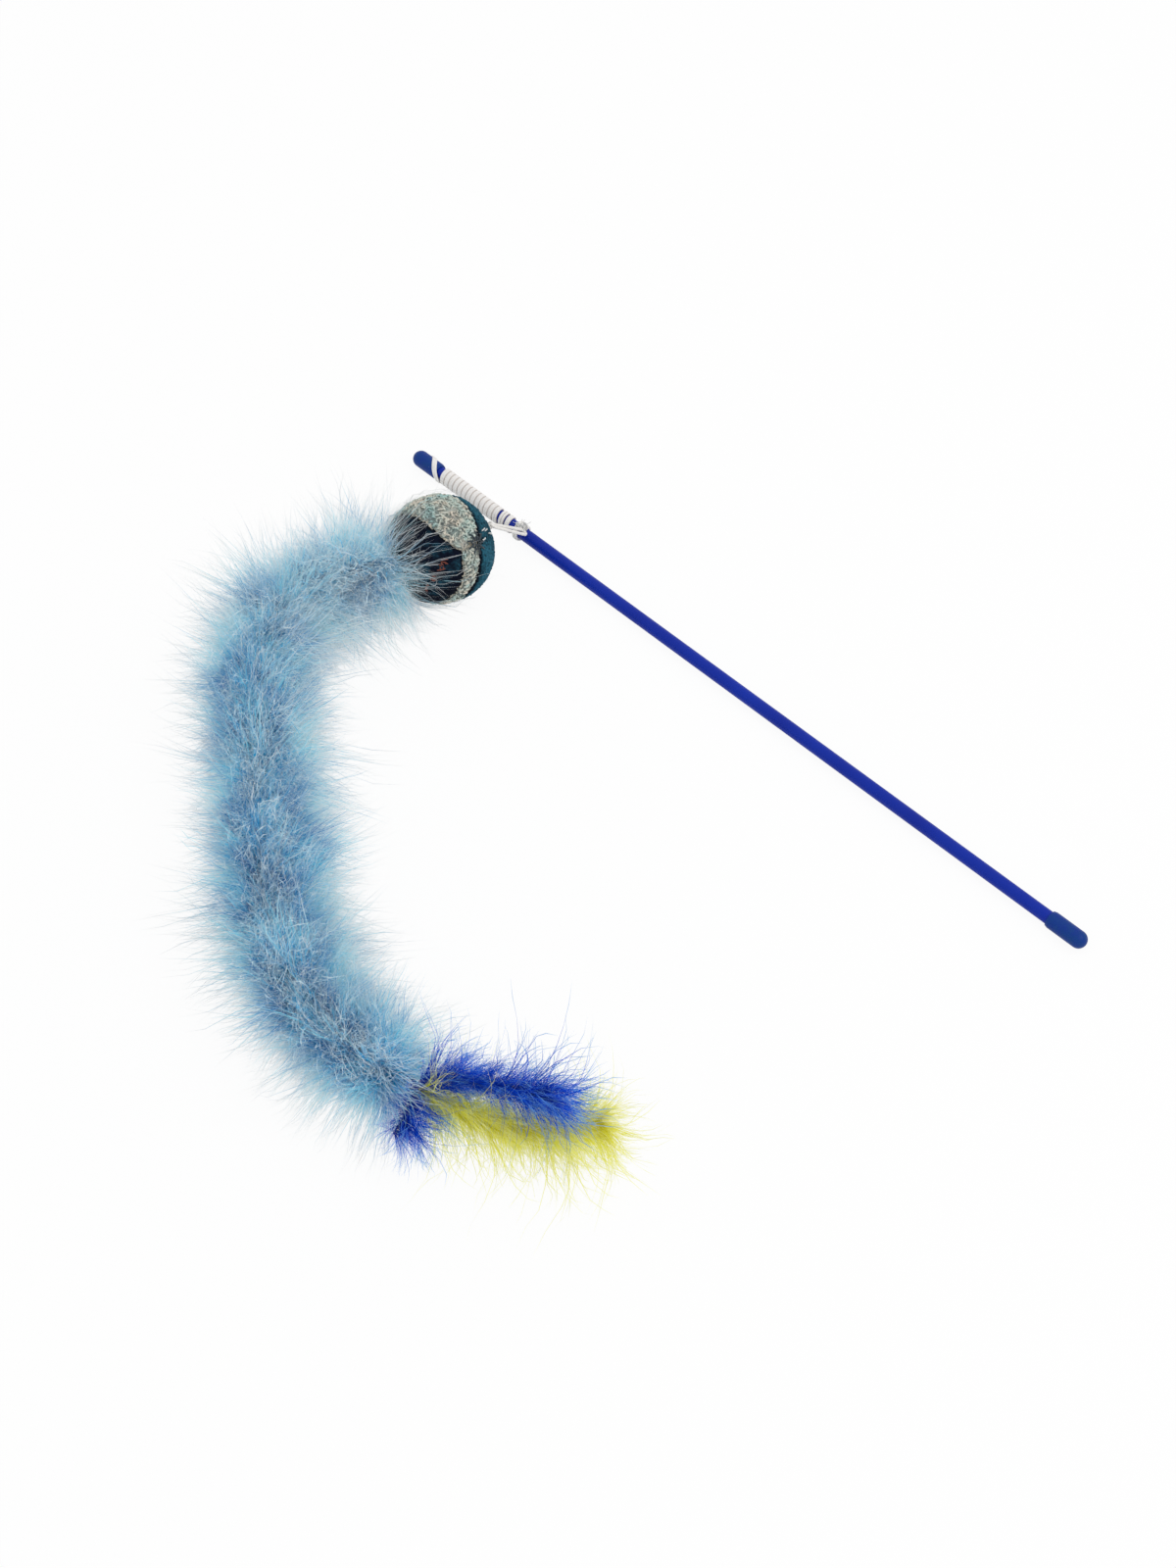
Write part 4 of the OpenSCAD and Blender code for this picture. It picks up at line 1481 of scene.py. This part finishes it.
    def make(self) -> None:
        """Makes all pieces of the elastic."""
        self.finish = ELASTIC.material()
        dress(self.winding(), "wand", ELASTIC.slot, "elastic_winding")
        dress(self.hitch(), "hitch", ELASTIC.slot, "elastic_hitch")
        dress(self.curl(), "hitch", ELASTIC.slot, "hitch_curl")
        dress(self.knot(), "hitch", ELASTIC.slot)
        dress(self.core(), "drop", ELASTIC.slot, "core_cord")


# Ball


class Cover(Enum):
    """The two cloths of the ball's cover, by the number of their first patch."""

    LIGHT = 0
    DARK = 1


@dataclass(frozen=True)
class Seam:
    """A seam between two patches: the turn that it keeps, and how it swings near the pole.

    Broad and fine are the height and the rate, in degrees, of the two waves of its ragged edge.
    """

    turn: float
    swing: float
    start: float
    reach: float
    broad: Pair = (1.3, 0.47)
    fine: Pair = (0.9, 1.1)

    def at(self, polar: float) -> float:
        """Finds where the seam runs.

        Args:
            polar: Degrees from the upper pole.

        Returns:
            The seam's turn there.
        """
        ragged = (self.broad[0] * math.sin(self.broad[1] * polar + self.swing)
                  + self.fine[0] * math.sin(self.fine[1] * polar))
        return self.turn + ragged + self.swing * math.exp(
            -max(polar - self.start, 0.0) / self.reach)


SEAMS = (Seam(132.0, -17.0, 8.0, 20.0), Seam(182.0, 71.0, 20.0, 27.0),
         Seam(312.0, -59.0, 20.0, 10.0), Seam(332.0, 24.0, 4.0, 14.0),
         Seam(492.0, -17.0, 8.0, 20.0))
PATCH_TOPS = (0.0, 20.6, 0.0, 0.0)
# Rust flecks as degrees from the pole, turn and count, and pale stitches as their start (turn and
# degrees from the pole) and their reach in both
FLECKS = ((44.0, 258.0, 7), (49.0, 264.0, 3), (60.0, 272.0, 5), (68.0, 278.0, 2),
          (75.0, 280.0, 2))
PALE_STITCHES = (((100.0, 16.0), -8.0, 6.8), ((88.0, 20.0), -3.0, 6.0), ((66.0, 9.0), 4.0, 5.2),
                 ((74.0, 25.0), -6.0, 5.6))


@dataclass
class Ball:
    """The patchwork ball: filling, looped and felted patches, threads and flecks."""

    sweep: Recipe
    cover: Recipe
    rows: int = 76
    columns_per_degree: float = 0.8
    seam_dip: float = 0.9 * MM
    seam_w: float = 1.5 * MM
    rib_pitch: float = 2.0 * MM
    rib_h: float = 0.22 * MM
    rib_sway: float = 0.8 * MM
    cloth_in: Pair = (1.0 * MM, 0.35 * MM)
    pleats: float = 14.0
    pleat_h: float = 0.3 * MM
    pleat_at: float = 8.0
    pole_w: float = 7.0
    pole_sag: float = 0.7 * MM
    sway_h: float = 0.3 * MM
    cord_sink: float = 2.2 * MM
    pole_stitches: int = 9
    fleck_spread: float = 2.6

    def out(self, turn: float, polar: float, seam: float, kind: Cover) -> float:
        """Returns the cover's radius at a place.

        Args:
            turn: Degrees round the line through the poles.
            polar: Degrees from the upper pole.
            seam: Distance to the nearest seam.
            kind: The cloth.

        Returns:
            The distance from the ball's centre.
        """
        dip = self.seam_dip * math.exp(-(seam / self.seam_w) ** 2)
        to_pole = min(polar, 180.0 - polar)
        pleat = (self.pleat_h * math.sin(turn * self.pleats * DEGREE)
                 * math.exp(-((to_pole - self.pleat_at) / self.pole_w) ** 2))
        sag = self.pole_sag * math.exp(-(to_pole / self.pole_w) ** 2)
        sway = self.sway_h * math.sin(3.0 * turn * DEGREE + 1.0) * math.sin(2.0 * polar * DEGREE)
        rib = 0.0
        if kind is Cover.DARK:
            arc = polar * DEGREE * BALL.radius + self.rib_sway * math.sin(turn * 5.0 * DEGREE)
            rib = self.rib_h * math.sin(2.0 * math.pi * arc / self.rib_pitch)
        place = BALL.way(turn, polar)
        to_cord = math.acos(min(abs(float(place @ BALL.axis)), 1.0)) * BALL.radius
        sink = self.cord_sink * math.exp(-(to_cord / BALL.cord_hole_r) ** 4)
        return BALL.radius - self.cloth_in[kind.value] - dip + pleat - sag + sway + rib - sink

    def patches(self, kind: Cover) -> Mesh:
        """Makes the patches of one cloth as closed shells.

        Args:
            kind: Which cloth.

        Returns:
            The mesh, with its outside marked.
        """
        points: list[Triple] = []
        faces: list[tuple[int, ...]] = []
        outer: list[bool] = []
        shade: list[float] = []
        pole = math.asin(BALL.pole_hole_r / BALL.radius) / DEGREE
        for first, second, tip in list(zip(SEAMS, SEAMS[1:], PATCH_TOPS))[kind.value::2]:
            top = max(pole, tip)
            columns = max(int((second.turn - first.turn) * self.columns_per_degree), 24)
            base = len(points)
            width = columns + 1
            layer = width * (self.rows + 1)
            for shell in (0, 1):
                for row in range(self.rows + 1):
                    polar = top + (180.0 - pole - top) * row / self.rows
                    low, high = first.at(polar), second.at(polar)
                    for column in range(width):
                        turn = low + (high - low) * column / columns
                        arc = BALL.radius * math.sin(polar * DEGREE) * DEGREE
                        seam = min(turn - low, high - turn) * arc
                        out = self.out(turn, polar, seam, kind) - shell * BALL.patch_t
                        points.append(tuple(BALL.on_ball(turn, polar, out)))
                        shade.append(1.0 if second is SEAMS[-1] else -1.0)
            for row in range(self.rows):
                for column in range(columns):
                    a = base + row * width + column
                    quad = (a, a + width, a + width + 1, a + 1)
                    faces.append(quad)
                    outer.append(True)
                    faces.append(tuple(corner + layer for corner in quad[::-1]))
                    outer.append(False)
            rim = [base + column for column in range(columns)]
            rim += [base + row * width + columns for row in range(self.rows)]
            rim += [base + self.rows * width + column for column in range(columns, 0, -1)]
            rim += [base + row * width for row in range(self.rows, 0, -1)]
            for corner, following in zip(rim, rim[1:] + rim[:1]):
                faces.append((corner, following, following + layer, corner + layer))
                outer.append(False)
        mesh = bpy.data.meshes.new("patches_" + kind.name.lower())
        mesh.from_pydata(points, [], faces)
        mesh.attributes.new("outer", "BOOLEAN", "FACE").data.foreach_set("value", outer)
        mesh.attributes.new("shade", "FLOAT", "POINT").data.foreach_set("value", shade)
        return mesh

    def stitch(self, start: Pair, step: Pair, rise: float, foot: float,
               steps: int = 4) -> np.ndarray:
        """Lays a short stitch on the ball, up from its foot and down again.

        Args:
            start: Its turn and its degrees from the upper pole where it starts.
            step: What each step adds to both.
            rise: How high its middle stands above its foot, in mm.
            foot: How far its foot is out of the ball's radius, in mm.
            steps: How many steps it has.

        Returns:
            The points.
        """
        return np.array([
            BALL.on_ball(start[0] + step[0] * i, start[1] + step[1] * i,
                         BALL.radius + (rise * math.sin(math.pi * i / steps) + foot) * MM)
            for i in range(steps + 1)])

    def threads(self) -> Piece:
        """Makes the gathering threads round the poles and their short stitches.

        Returns:
            The piece.
        """
        lines = []
        ring_r = BALL.pole_hole_r + 4.0 * BALL.thread_r
        reach = math.asin(ring_r / BALL.radius) / DEGREE
        for pole, sign in ((0.0, 1.0), (180.0, -1.0)):
            lines.append(np.array([
                BALL.on_ball(turn, pole + sign * (reach + 0.8 * math.sin(turn * 7.0 * DEGREE)),
                             BALL.radius - 0.3 * MM) for turn in np.linspace(0.0, 360.0, 61)]))
            for k in range(self.pole_stitches):
                first = (360.0 / self.pole_stitches * k + 9.0, pole + sign * (reach - 4.0))
                lines.append(self.stitch(first, (3.0, sign * 2.6), 0.4, -0.3))
        return cords(self.sweep, "gather_stitches", lines, BALL.thread_r, 8,
                     DARK_THREAD.material())

    def flecks(self) -> Piece:
        """Makes the rust-coloured stitches in the dark patch beside the light tip.

        Returns:
            The piece.
        """
        draw = np.random.default_rng(7)
        lines = []
        for polar_at, turn_at, count in FLECKS:
            for _ in range(count):
                turn = turn_at + draw.normal(0.0, self.fleck_spread)
                polar = polar_at + draw.normal(0.0, self.fleck_spread)
                along, across = 0.9, 0.8 * draw.normal(0.0, 1.0)
                first = (turn - 2.0 * along, polar - 2.0 * across)
                lines.append(self.stitch(first, (along, across), 0.35, -0.1))
        return cords(self.sweep, "rust_flecks", lines, 0.25 * MM, 6, RUST_THREAD.material())

    def stitches(self) -> Piece:
        """Makes the few pale stitches beside the upper pole.

        Returns:
            The piece.
        """
        lines = [self.stitch(start, (across / 5.0, along / 5.0), 0.5, 0.0, 5)
                 for start, across, along in PALE_STITCHES]
        return cords(self.sweep, "pale_stitches", lines, 0.3 * MM, 8, FRAY.material())

    def make(self) -> None:
        """Makes all pieces of the ball."""
        filling = frame["nodes"]["ball_core"].data
        filling.materials.clear()
        filling.materials.append(FILLING.material())
        loops = Stock("boucle_loops", loop_low=Loop(0.8 * MM, 0.52 * MM, 0.6, 0.65),
                      loop_tight=Loop(0.6 * MM, 0.56 * MM, -0.8, 0.75),
                      loop_wide=Loop(1.1 * MM, 0.46 * MM, 1.0, 0.5))
        light = self.cover.run(self.patches(Cover.LIGHT), "boucle_patches", Loops=loops.group,
                               Density=0.5 / MM ** 2, Size_Low=0.65, Size_High=1.2, Seed=3,
                               Material=BOUCLE.material())
        dress(light, "ball", BOUCLE.slot, "ball_patch_light")
        nubs = Stock("felt_nubs", nub=Loop(0.45 * MM, 0.2 * MM, 1.2, 0.3, 6))
        dark = self.cover.run(self.patches(Cover.DARK), "felt_patches", Loops=nubs.group,
                              Density=0.16 / MM ** 2, Size_Low=0.6, Size_High=1.1, Seed=4,
                              Material=FELT.material())
        dress(dark, "ball", FELT.slot, "ball_patch_dark")
        dress(self.threads(), "ball", DARK_THREAD.slot, "gather_thread")
        dress(self.flecks(), "ball", DARK_THREAD.slot)
        dress(self.stitches(), "ball", DARK_THREAD.slot)
        loops.clear()
        nubs.clear()


# Boa


@dataclass(frozen=True)
class Layer:
    """One layer of the boa's barbs: how many locks there are, how they lean and how they bend.

    Warp and curl are each an amount and the scale of the noise that it follows.
    """

    name: str
    count: int
    seed: int
    lean: float
    size: Pair
    power: float
    warp: Pair
    curl: Pair
    droop: float
    thin: float
    crest_size: float
    clump: float
    mouth_lean: float


LAYERS = (
    Layer("fluff", count=1700, seed=100, lean=0.75, size=(0.4, 1.34), power=1.3,
          warp=(10 * MM, 55.0), curl=(8 * MM, 210.0), droop=2 * MM, thin=1.0, crest_size=0.8,
          clump=1.3, mouth_lean=-0.38),
    Layer("down", count=900, seed=200, lean=1.1, size=(0.6, 1.2), power=0.8,
          warp=(8 * MM, 90.0), curl=(6 * MM, 260.0), droop=0.0, thin=0.0, crest_size=1.35,
          clump=1.4, mouth_lean=0.0),
    Layer("curls", count=460, seed=400, lean=1.0, size=(0.45, 1.0), power=1.0,
          warp=(6 * MM, 70.0), curl=(4 * MM, 200.0), droop=0.0, thin=0.0, crest_size=1.2,
          clump=0.8, mouth_lean=-0.6))


CLUMP_SCALE = 75.0
BARB_FLOOR = FLOOR_Z + 0.1 * MM
BALL_CLEAR = BALL.radius + 2.2 * MM


def barbs_on(fluff: Recipe, name: str, line: np.ndarray, locks: Stock,
             finish: Material, **values: object) -> Piece:
    """Sets locks of barbs round a line as one piece.

    Args:
        fluff: The recipe that sets them.
        name: The piece's name.
        line: The points of the line.
        locks: The locks to draw from.
        finish: Their material.
        values: The recipe's other inputs, with underscores for spaces.

    Returns:
        The piece.
    """
    return fluff.run(polyline(name, [line]), name, Locks=locks.group, Material=finish,
                     Clump_Scale=CLUMP_SCALE, Floor=BARB_FLOOR, Ball_Centre=BALL.centre, **values)


@dataclass
class Boa:
    """The seven links of the boa: twisted string and locks of barbs round it."""

    sweep: Recipe
    fluff: Recipe
    plies: int = 2
    ply_pitch: float = 5.0 * MM
    ply_share: float = 0.45

    def route(self, k: int, count: int) -> np.ndarray:
        """Returns points along link k."""
        start = BOA.link_start(k, FAR_KNOT)
        return np.array([BOA.along(start, k, BOA.link_l * i / (count - 1)) for i in range(count)])

    def string(self, k: int, finish: Material) -> Piece:
        """Makes the twisted string of a link.

        Args:
            k: The link's number, from 0.
            finish: The string's material.

        Returns:
            The piece.
        """
        start = BOA.link_start(k, FAR_KNOT)
        first = BALL.knot_r if k == 0 else BOA.link_gap
        lines = []
        for ply in range(self.plies):
            line = []
            for s in np.linspace(first, BOA.link_l - BOA.link_gap, 64):
                turn = s / self.ply_pitch * 360.0 + 360.0 * ply / self.plies
                way = BOA.link_head(k) + BOA.link_turns[k] * s / BOA.link_l
                off = math.cos(turn * DEGREE) * heading(way + 90.0) + math.sin(turn * DEGREE) * UP
                line.append(BOA.along(start, k, s) + off * BOA.string_r * self.ply_share)
            lines.append(np.array(line))
        return cords(self.sweep, f"string_{k + 1}", lines, BOA.string_r * (1.0 - self.ply_share),
                     8, finish)

    def layer(self, k: int, layer: Layer, locks: Stock, finish: Material) -> Piece:
        """Makes one layer of a link's barbs.

        Args:
            k: The link's number, from 0.
            layer: The layer.
            locks: The locks to draw from.
            finish: Their material.

        Returns:
            The piece.
        """
        # Painted shade: the link's depth brings the root colour up its near side and thins its
        # crest.
        share, deep_shade, at_ball = BOA.shares[k], BOA.depths[k], k == 0
        return barbs_on(
            self.fluff, f"{layer.name}_{k + 1}", self.route(k, 24), locks, finish,
            Count=layer.count, Seed=layer.seed + k, Roll=math.pi, Sides=0, Lean_Low=-layer.lean,
            Lean_High=layer.lean, Mouth_Lean=layer.mouth_lean if at_ball else 0.0, Mouth=0.3,
            Size_Low=layer.size[0] * share, Size_High=layer.size[1] * share,
            Size_Power=layer.power, End_Size=1.0, Warp=layer.warp[0], Warp_Scale=layer.warp[1],
            Curl=layer.curl[0], Curl_Scale=layer.curl[1], Droop=layer.droop,
            Crest_Thinning=layer.thin * min(deep_shade + 0.3, 1.0), Crest_Size=layer.crest_size,
            Crest_Depth=deep_shade, Clump=layer.clump, Favour=tuple(BOA.outer(k)), Parting=BOA.parting,
            Ball_Radius=BALL_CLEAR if at_ball else 0.0)

    def make(self) -> None:
        """Makes all links."""
        tangled = {"wave": 0.06, "taper": 0.4, "stations": (0.0, 0.3, 0.48, 0.66, 0.84)}
        curly = {"taper": 0.4, "stations": (0.0, 0.2, 0.4, 0.52, 0.63, 0.73, 0.82, 0.91)}
        stocks = [
            Stock("boa_locks",
                  lock_wisp=Lock(12, 33 * MM, 0.5, 0.8, 0.12, 0.24 * MM, 1, 0.02),
                  lock_soft=Lock(12, 34 * MM, 0.45, 0.4, 0.25, 0.22 * MM, 2, 0.05),
                  lock_open=Lock(12, 30 * MM, 0.75, 0.1, 0.3, 0.2 * MM, 3, 0.05),
                  lock_bent=Lock(12, 35 * MM, 0.4, 0.6, 0.35, 0.22 * MM, 4, 0.04),
                  lock_haze=Lock(12, 27 * MM, 0.9, 0.0, 0.4, 0.2 * MM, 5, 0.06)),
            Stock("boa_down",
                  down_curl=Lock(8, 20 * MM, 0.8, 0.1, 0.3, 0.26 * MM, 6, curl=2.6,
                                 curl_from=0.3, **tangled),
                  down_hook=Lock(8, 23 * MM, 0.6, 0.4, 0.3, 0.24 * MM, 7, curl=2.0,
                                 curl_from=0.35, **tangled),
                  down_ball=Lock(8, 17 * MM, 1.1, 0.0, 0.3, 0.26 * MM, 8, curl=3.2,
                                 curl_from=0.3, **tangled)),
            Stock("boa_curls",
                  curl_long=Lock(5, 34 * MM, 0.5, 0.2, 0.2, 0.26 * MM, 9, 0.03, curl=3.4,
                                 curl_from=0.45, **curly),
                  curl_tight=Lock(5, 29 * MM, 0.7, 0.0, 0.2, 0.26 * MM, 10, 0.03, curl=4.4,
                                  curl_from=0.5, **curly),
                  curl_open=Lock(5, 38 * MM, 0.35, 0.3, 0.2, 0.24 * MM, 12, 0.04, curl=2.6,
                                 curl_from=0.55, **curly))]
        finishes = [finish.material() for finish in (BOA_BARBS, BOA_DOWN, BOA_CURLS)]
        string_finish = STRING.material()
        for k in range(len(BOA.link_turns)):
            body = f"boa_{k + 1}"
            dress(self.string(k, string_finish), body, STRING.slot, f"boa_string_{k + 1}")
            for layer, locks, finish in zip(LAYERS, stocks, finishes):
                piece = self.layer(k, layer, locks, finish)
                nodes = [f"boa_plume_{k + 1}"] if layer is LAYERS[0] else []
                dress(piece, body, BOA_BARBS.slot, *nodes)
        for stock in stocks:
            stock.clear()


# Tail


@dataclass(frozen=True)
class Feather:
    """One tail feather: its place, its curve and its barbs.

    Lay is its heading from the tail's and its slope, root_share is where its quill starts across
    the binding, and sweep_side and rise are how far its tip bends.
    """

    name: str
    quill: Plastic
    barbs: Barbs
    length: float
    lay: Pair
    root_share: float
    sweep_side: float
    rise: float
    locks: int
    reach: float
    roll: float
    lean: Pair
    end_size: float
    favour: float
    seed: int


FEATHERS = (
    Feather("blue", BLUE_QUILL, BLUE_BARBS, length=53 * MM, lay=(34.0, 12.0), root_share=0.34,
            sweep_side=-15 * MM, rise=-3 * MM, locks=700, reach=0.6, roll=0.8, lean=(0.7, 1.35),
            end_size=1.6, favour=0.24, seed=301),
    Feather("yellow", YELLOW_QUILL, YELLOW_BARBS, length=70 * MM, lay=(4.0, -13.0),
            root_share=-0.34, sweep_side=26 * MM, rise=4 * MM, locks=860, reach=0.78, roll=0.8,
            lean=(0.5, 1.3), end_size=1.2, favour=-0.34, seed=302),
    Feather("tuft", BLUE_QUILL, BLUE_BARBS, length=20 * MM, lay=(-76.0, -20.0), root_share=0.0,
            sweep_side=-3 * MM, rise=0.0, locks=280, reach=0.5, roll=1.0, lean=(-0.2, 1.1),
            end_size=0.9, favour=0.5, seed=303))


@dataclass
class Tail:
    """The tail: a wound binding and three dyed feathers."""

    sweep: Recipe
    fluff: Recipe
    thread_r: float = 0.36 * MM
    steps_per_turn: int = 20
    filling_share: float = 4.6
    quill_taper: float = 0.72
    sizes: Pair = (0.3, 1.25)

    def root(self) -> tuple[np.ndarray, float]:
        """Returns where the tail starts and its heading."""
        count = len(BOA.link_turns)
        return BOA.link_start(count, FAR_KNOT), BOA.link_head(count)

    def binding(self) -> Piece:
        """Makes the thread that is wound round the string and the quills' ends.

        Returns:
            The piece.
        """
        start, head = self.root()
        way, side = heading(head), heading(head + 90.0)
        thread_r = self.thread_r
        wound = BOA.binding_l - 2.0 * thread_r
        turns = wound / (2.0 * thread_r)
        lines = []
        for radius in (BOA.binding_r - thread_r, BOA.binding_r - 2.2 * thread_r):
            line = []
            for share in np.linspace(0.0, 1.0, int(turns * self.steps_per_turn)):
                angle = share * turns * 2.0 * math.pi
                off = math.cos(angle) * side + math.sin(angle) * UP
                line.append(start + way * (BOA.link_gap + thread_r + wound * share) + off * radius)
            lines.append(np.array(line))
        lines.append(np.linspace(start + way * (BOA.link_gap + 0.2 * MM),
                                 start + way * BOA.binding_l, 6))
        thick = [np.ones(len(lines[0])), np.ones(len(lines[1])), np.full(6, self.filling_share)]
        return cords(self.sweep, "tail_windings", lines, thread_r, 8, TAIL_THREAD.material(),
                     thick)

    def quill_line(self, feather: Feather, count: int) -> np.ndarray:
        """Finds points along a feather's quill.

        Args:
            feather: The feather.
            count: How many points.

        Returns:
            The points, one row a point.
        """
        start, head = self.root()
        turn, slope = feather.lay
        level = heading(head + turn)
        way = level * math.cos(slope * DEGREE) + np.array([0.0, 0.0, math.sin(slope * DEGREE)])
        side = heading(head + turn + 90.0)
        lean = math.acos(math.cos(turn * DEGREE) * math.cos(slope * DEGREE))
        ahead = BOA.link_gap + BOA.binding_l + HAIR + BOA.quill_r * math.sin(lean)
        first = start + heading(head) * ahead
        first = first + UP * feather.root_share * 2.0 * BOA.binding_r
        shares = np.linspace(0.0, 1.0, count)[:, None]
        return (first + way * feather.length * shares
                + side * feather.sweep_side * shares ** 2 + UP * feather.rise * shares ** 2)

    def quill(self, feather: Feather) -> Piece:
        """Makes a feather's quill, thinner towards its tip.

        Args:
            feather: The feather.

        Returns:
            The piece.
        """
        thick = [1.0 - self.quill_taper * np.linspace(0.0, 1.0, 24)]
        return cords(self.sweep, feather.name + "_shaft", [self.quill_line(feather, 24)],
                     BOA.quill_r, 8, feather.quill.material(), thick)

    def barbs(self, feather: Feather, locks: Stock, finish: Material) -> Piece:
        """Makes a feather's barbs.

        Args:
            feather: The feather.
            locks: The locks to draw from.
            finish: Their material.

        Returns:
            The piece.
        """
        side = heading(self.root()[1] + feather.lay[0] + 90.0)
        low, high = self.sizes
        return barbs_on(
            self.fluff, feather.name + "_fluff", self.quill_line(feather, 24), locks, finish,
            Count=feather.locks, Seed=feather.seed, Roll=feather.roll, Sides=1,
            Lean_Low=feather.lean[0], Lean_High=feather.lean[1], Mouth_Lean=0.0, Mouth=1.0,
            Size_Low=low * feather.reach, Size_High=high * feather.reach, Size_Power=1.8,
            End_Size=feather.end_size, Warp=9 * MM, Warp_Scale=60.0, Curl=5 * MM,
            Curl_Scale=170.0, Droop=2 * MM, Crest_Thinning=0.0, Crest_Size=1.0,
            Crest_Depth=1.0, Clump=0.9, Favour=tuple(side * feather.favour),
            Parting=(0.0, 0.0, 1.0), Ball_Radius=0.0)

    def make(self) -> None:
        """Makes the binding and the feathers."""
        dress(self.binding(), "tail", TAIL_THREAD.slot, "tail_binding")
        curved = {"taper": 0.5, "stations": (0.0, 0.18, 0.36, 0.54, 0.7, 0.86)}
        locks = Stock(
            "tail_locks",
            tail_wisp=Lock(8, 33 * MM, 0.35, 0.5, 0.3, 0.34 * MM, 21, 0.04, **curved),
            tail_curl=Lock(8, 37 * MM, 0.3, 0.15, 0.5, 0.3 * MM, 22, 0.05, curl=1.7,
                           curl_from=0.4, **curved),
            tail_open=Lock(8, 30 * MM, 0.55, 0.0, 0.4, 0.32 * MM, 23, 0.06, curl=1.2,
                           curl_from=0.4, **curved))
        finishes: dict[str, Material] = {}
        for feather in FEATHERS:
            if feather.barbs.slot not in finishes:
                finishes[feather.barbs.slot] = feather.barbs.material()
            dress(self.quill(feather), "tail", feather.quill.slot, feather.name + "_quill")
            dress(self.barbs(feather, locks, finishes[feather.barbs.slot]), "tail",
                  feather.barbs.slot, feather.name + "_vane")
        locks.clear()


# Stage, light and camera


@dataclass(frozen=True)
class Studio:
    """A pale floor, soft light at a plain level and the camera of the photograph."""

    camera_at: Triple = (331.9 * MM, -631.8 * MM, 1018.1 * MM)
    camera_aim: Triple = (-196.0 * MM, -83.35 * MM, 0.0)
    lens_mm: float = 67.5
    film_mm: float = 36.0
    floor_half: float = 6.0
    floor_grey: float = 0.95
    floor_glow: float = 0.93
    sky: float = 0.78
    key_watts: float = 6.5
    key_size: float = 1.2
    key_at: Triple = (0.55, 0.35, 1.45)
    clip: Pair = (0.05, 50.0)

    def point(self, name: str, data: bpy.types.ID, at: Triple) -> Piece:
        """Puts the lamp or the camera in its place and turns it to what the camera aims at.

        Args:
            name: The object's name.
            data: The lamp's or the camera's data.
            at: The place.

        Returns:
            The object.
        """
        holder = bpy.data.objects.new(name, data)
        holder.location = at
        aim = Vector(self.camera_aim) - Vector(at)
        holder.rotation_euler = aim.to_track_quat("-Z", "Y").to_euler()
        bpy.context.scene.collection.objects.link(holder)
        return holder

    def floor(self) -> None:
        """Makes the floor, which is near white to the camera and keeps the shadow."""
        half = self.floor_half
        mesh = bpy.data.meshes.new("floor")
        mesh.from_pydata([(-half, -half, FLOOR_Z), (half, -half, FLOOR_Z),
                          (half, half, FLOOR_Z), (-half, half, FLOOR_Z)], [], [(0, 1, 2, 3)])
        material = bpy.data.materials.new("floor_white")
        material.use_nodes = True
        graph = Graph(material.node_tree)
        material.node_tree.nodes.clear()
        matt = graph.node("ShaderNodeBsdfDiffuse", {"Color": (*[self.floor_grey] * 3, 1.0)})
        glow = graph.node("ShaderNodeEmission", {"Color": (1.0, 1.0, 1.0, 1.0), "Strength": 1.0})
        mixed = graph.node("ShaderNodeMixShader",
                           {0: graph.times(graph.seen(), self.floor_glow), 1: matt.outputs[0],
                            2: glow.outputs[0]})
        graph.node("ShaderNodeOutputMaterial", {"Surface": mixed.outputs[0]})
        mesh.materials.append(material)
        place_piece("floor", mesh)

    def light(self) -> None:
        """Makes the even sky and one large soft lamp."""
        world = bpy.data.worlds.new("studio")
        world.use_nodes = True
        graph = Graph(world.node_tree)
        world.node_tree.nodes.clear()
        level = graph.math("MULTIPLY_ADD", graph.seen(), 1.0 - self.sky, self.sky)
        sky = graph.node("ShaderNodeBackground", {"Color": (1.0, 1.0, 1.0, 1.0),
                                                  "Strength": level})
        graph.node("ShaderNodeOutputWorld", {"Surface": sky.outputs[0]})
        bpy.context.scene.world = world
        lamp = bpy.data.lights.new("key", "AREA")
        lamp.energy = self.key_watts
        lamp.size = self.key_size
        self.point("key", lamp, self.key_at)

    def camera(self) -> None:
        """Makes the camera at the photograph's angle."""
        data = bpy.data.cameras.new("camera")
        data.sensor_fit = "VERTICAL"
        data.sensor_height = self.film_mm
        data.lens = self.lens_mm
        data.clip_start, data.clip_end = self.clip
        bpy.context.scene.camera = self.point("camera", data, self.camera_at)
        bpy.context.scene.view_settings.view_transform = "Standard"

    def make(self) -> None:
        """Makes the camera, the light and the floor."""
        self.camera()
        self.light()
        self.floor()


def main() -> None:
    """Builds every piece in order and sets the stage."""
    logging.basicConfig(level=logging.INFO, format="%(name)s %(message)s")
    Studio().make()
    sweep, fluff, cover = sweep_recipe(), fluff_recipe(), cover_recipe()
    for part in (Stick(), Elastic(sweep), Ball(sweep, cover), Boa(sweep, fluff),
                 Tail(sweep, fluff)):
        part.make()
        LOG.info("%s is made", type(part).__name__)


if __name__ == "__main__":
    main()
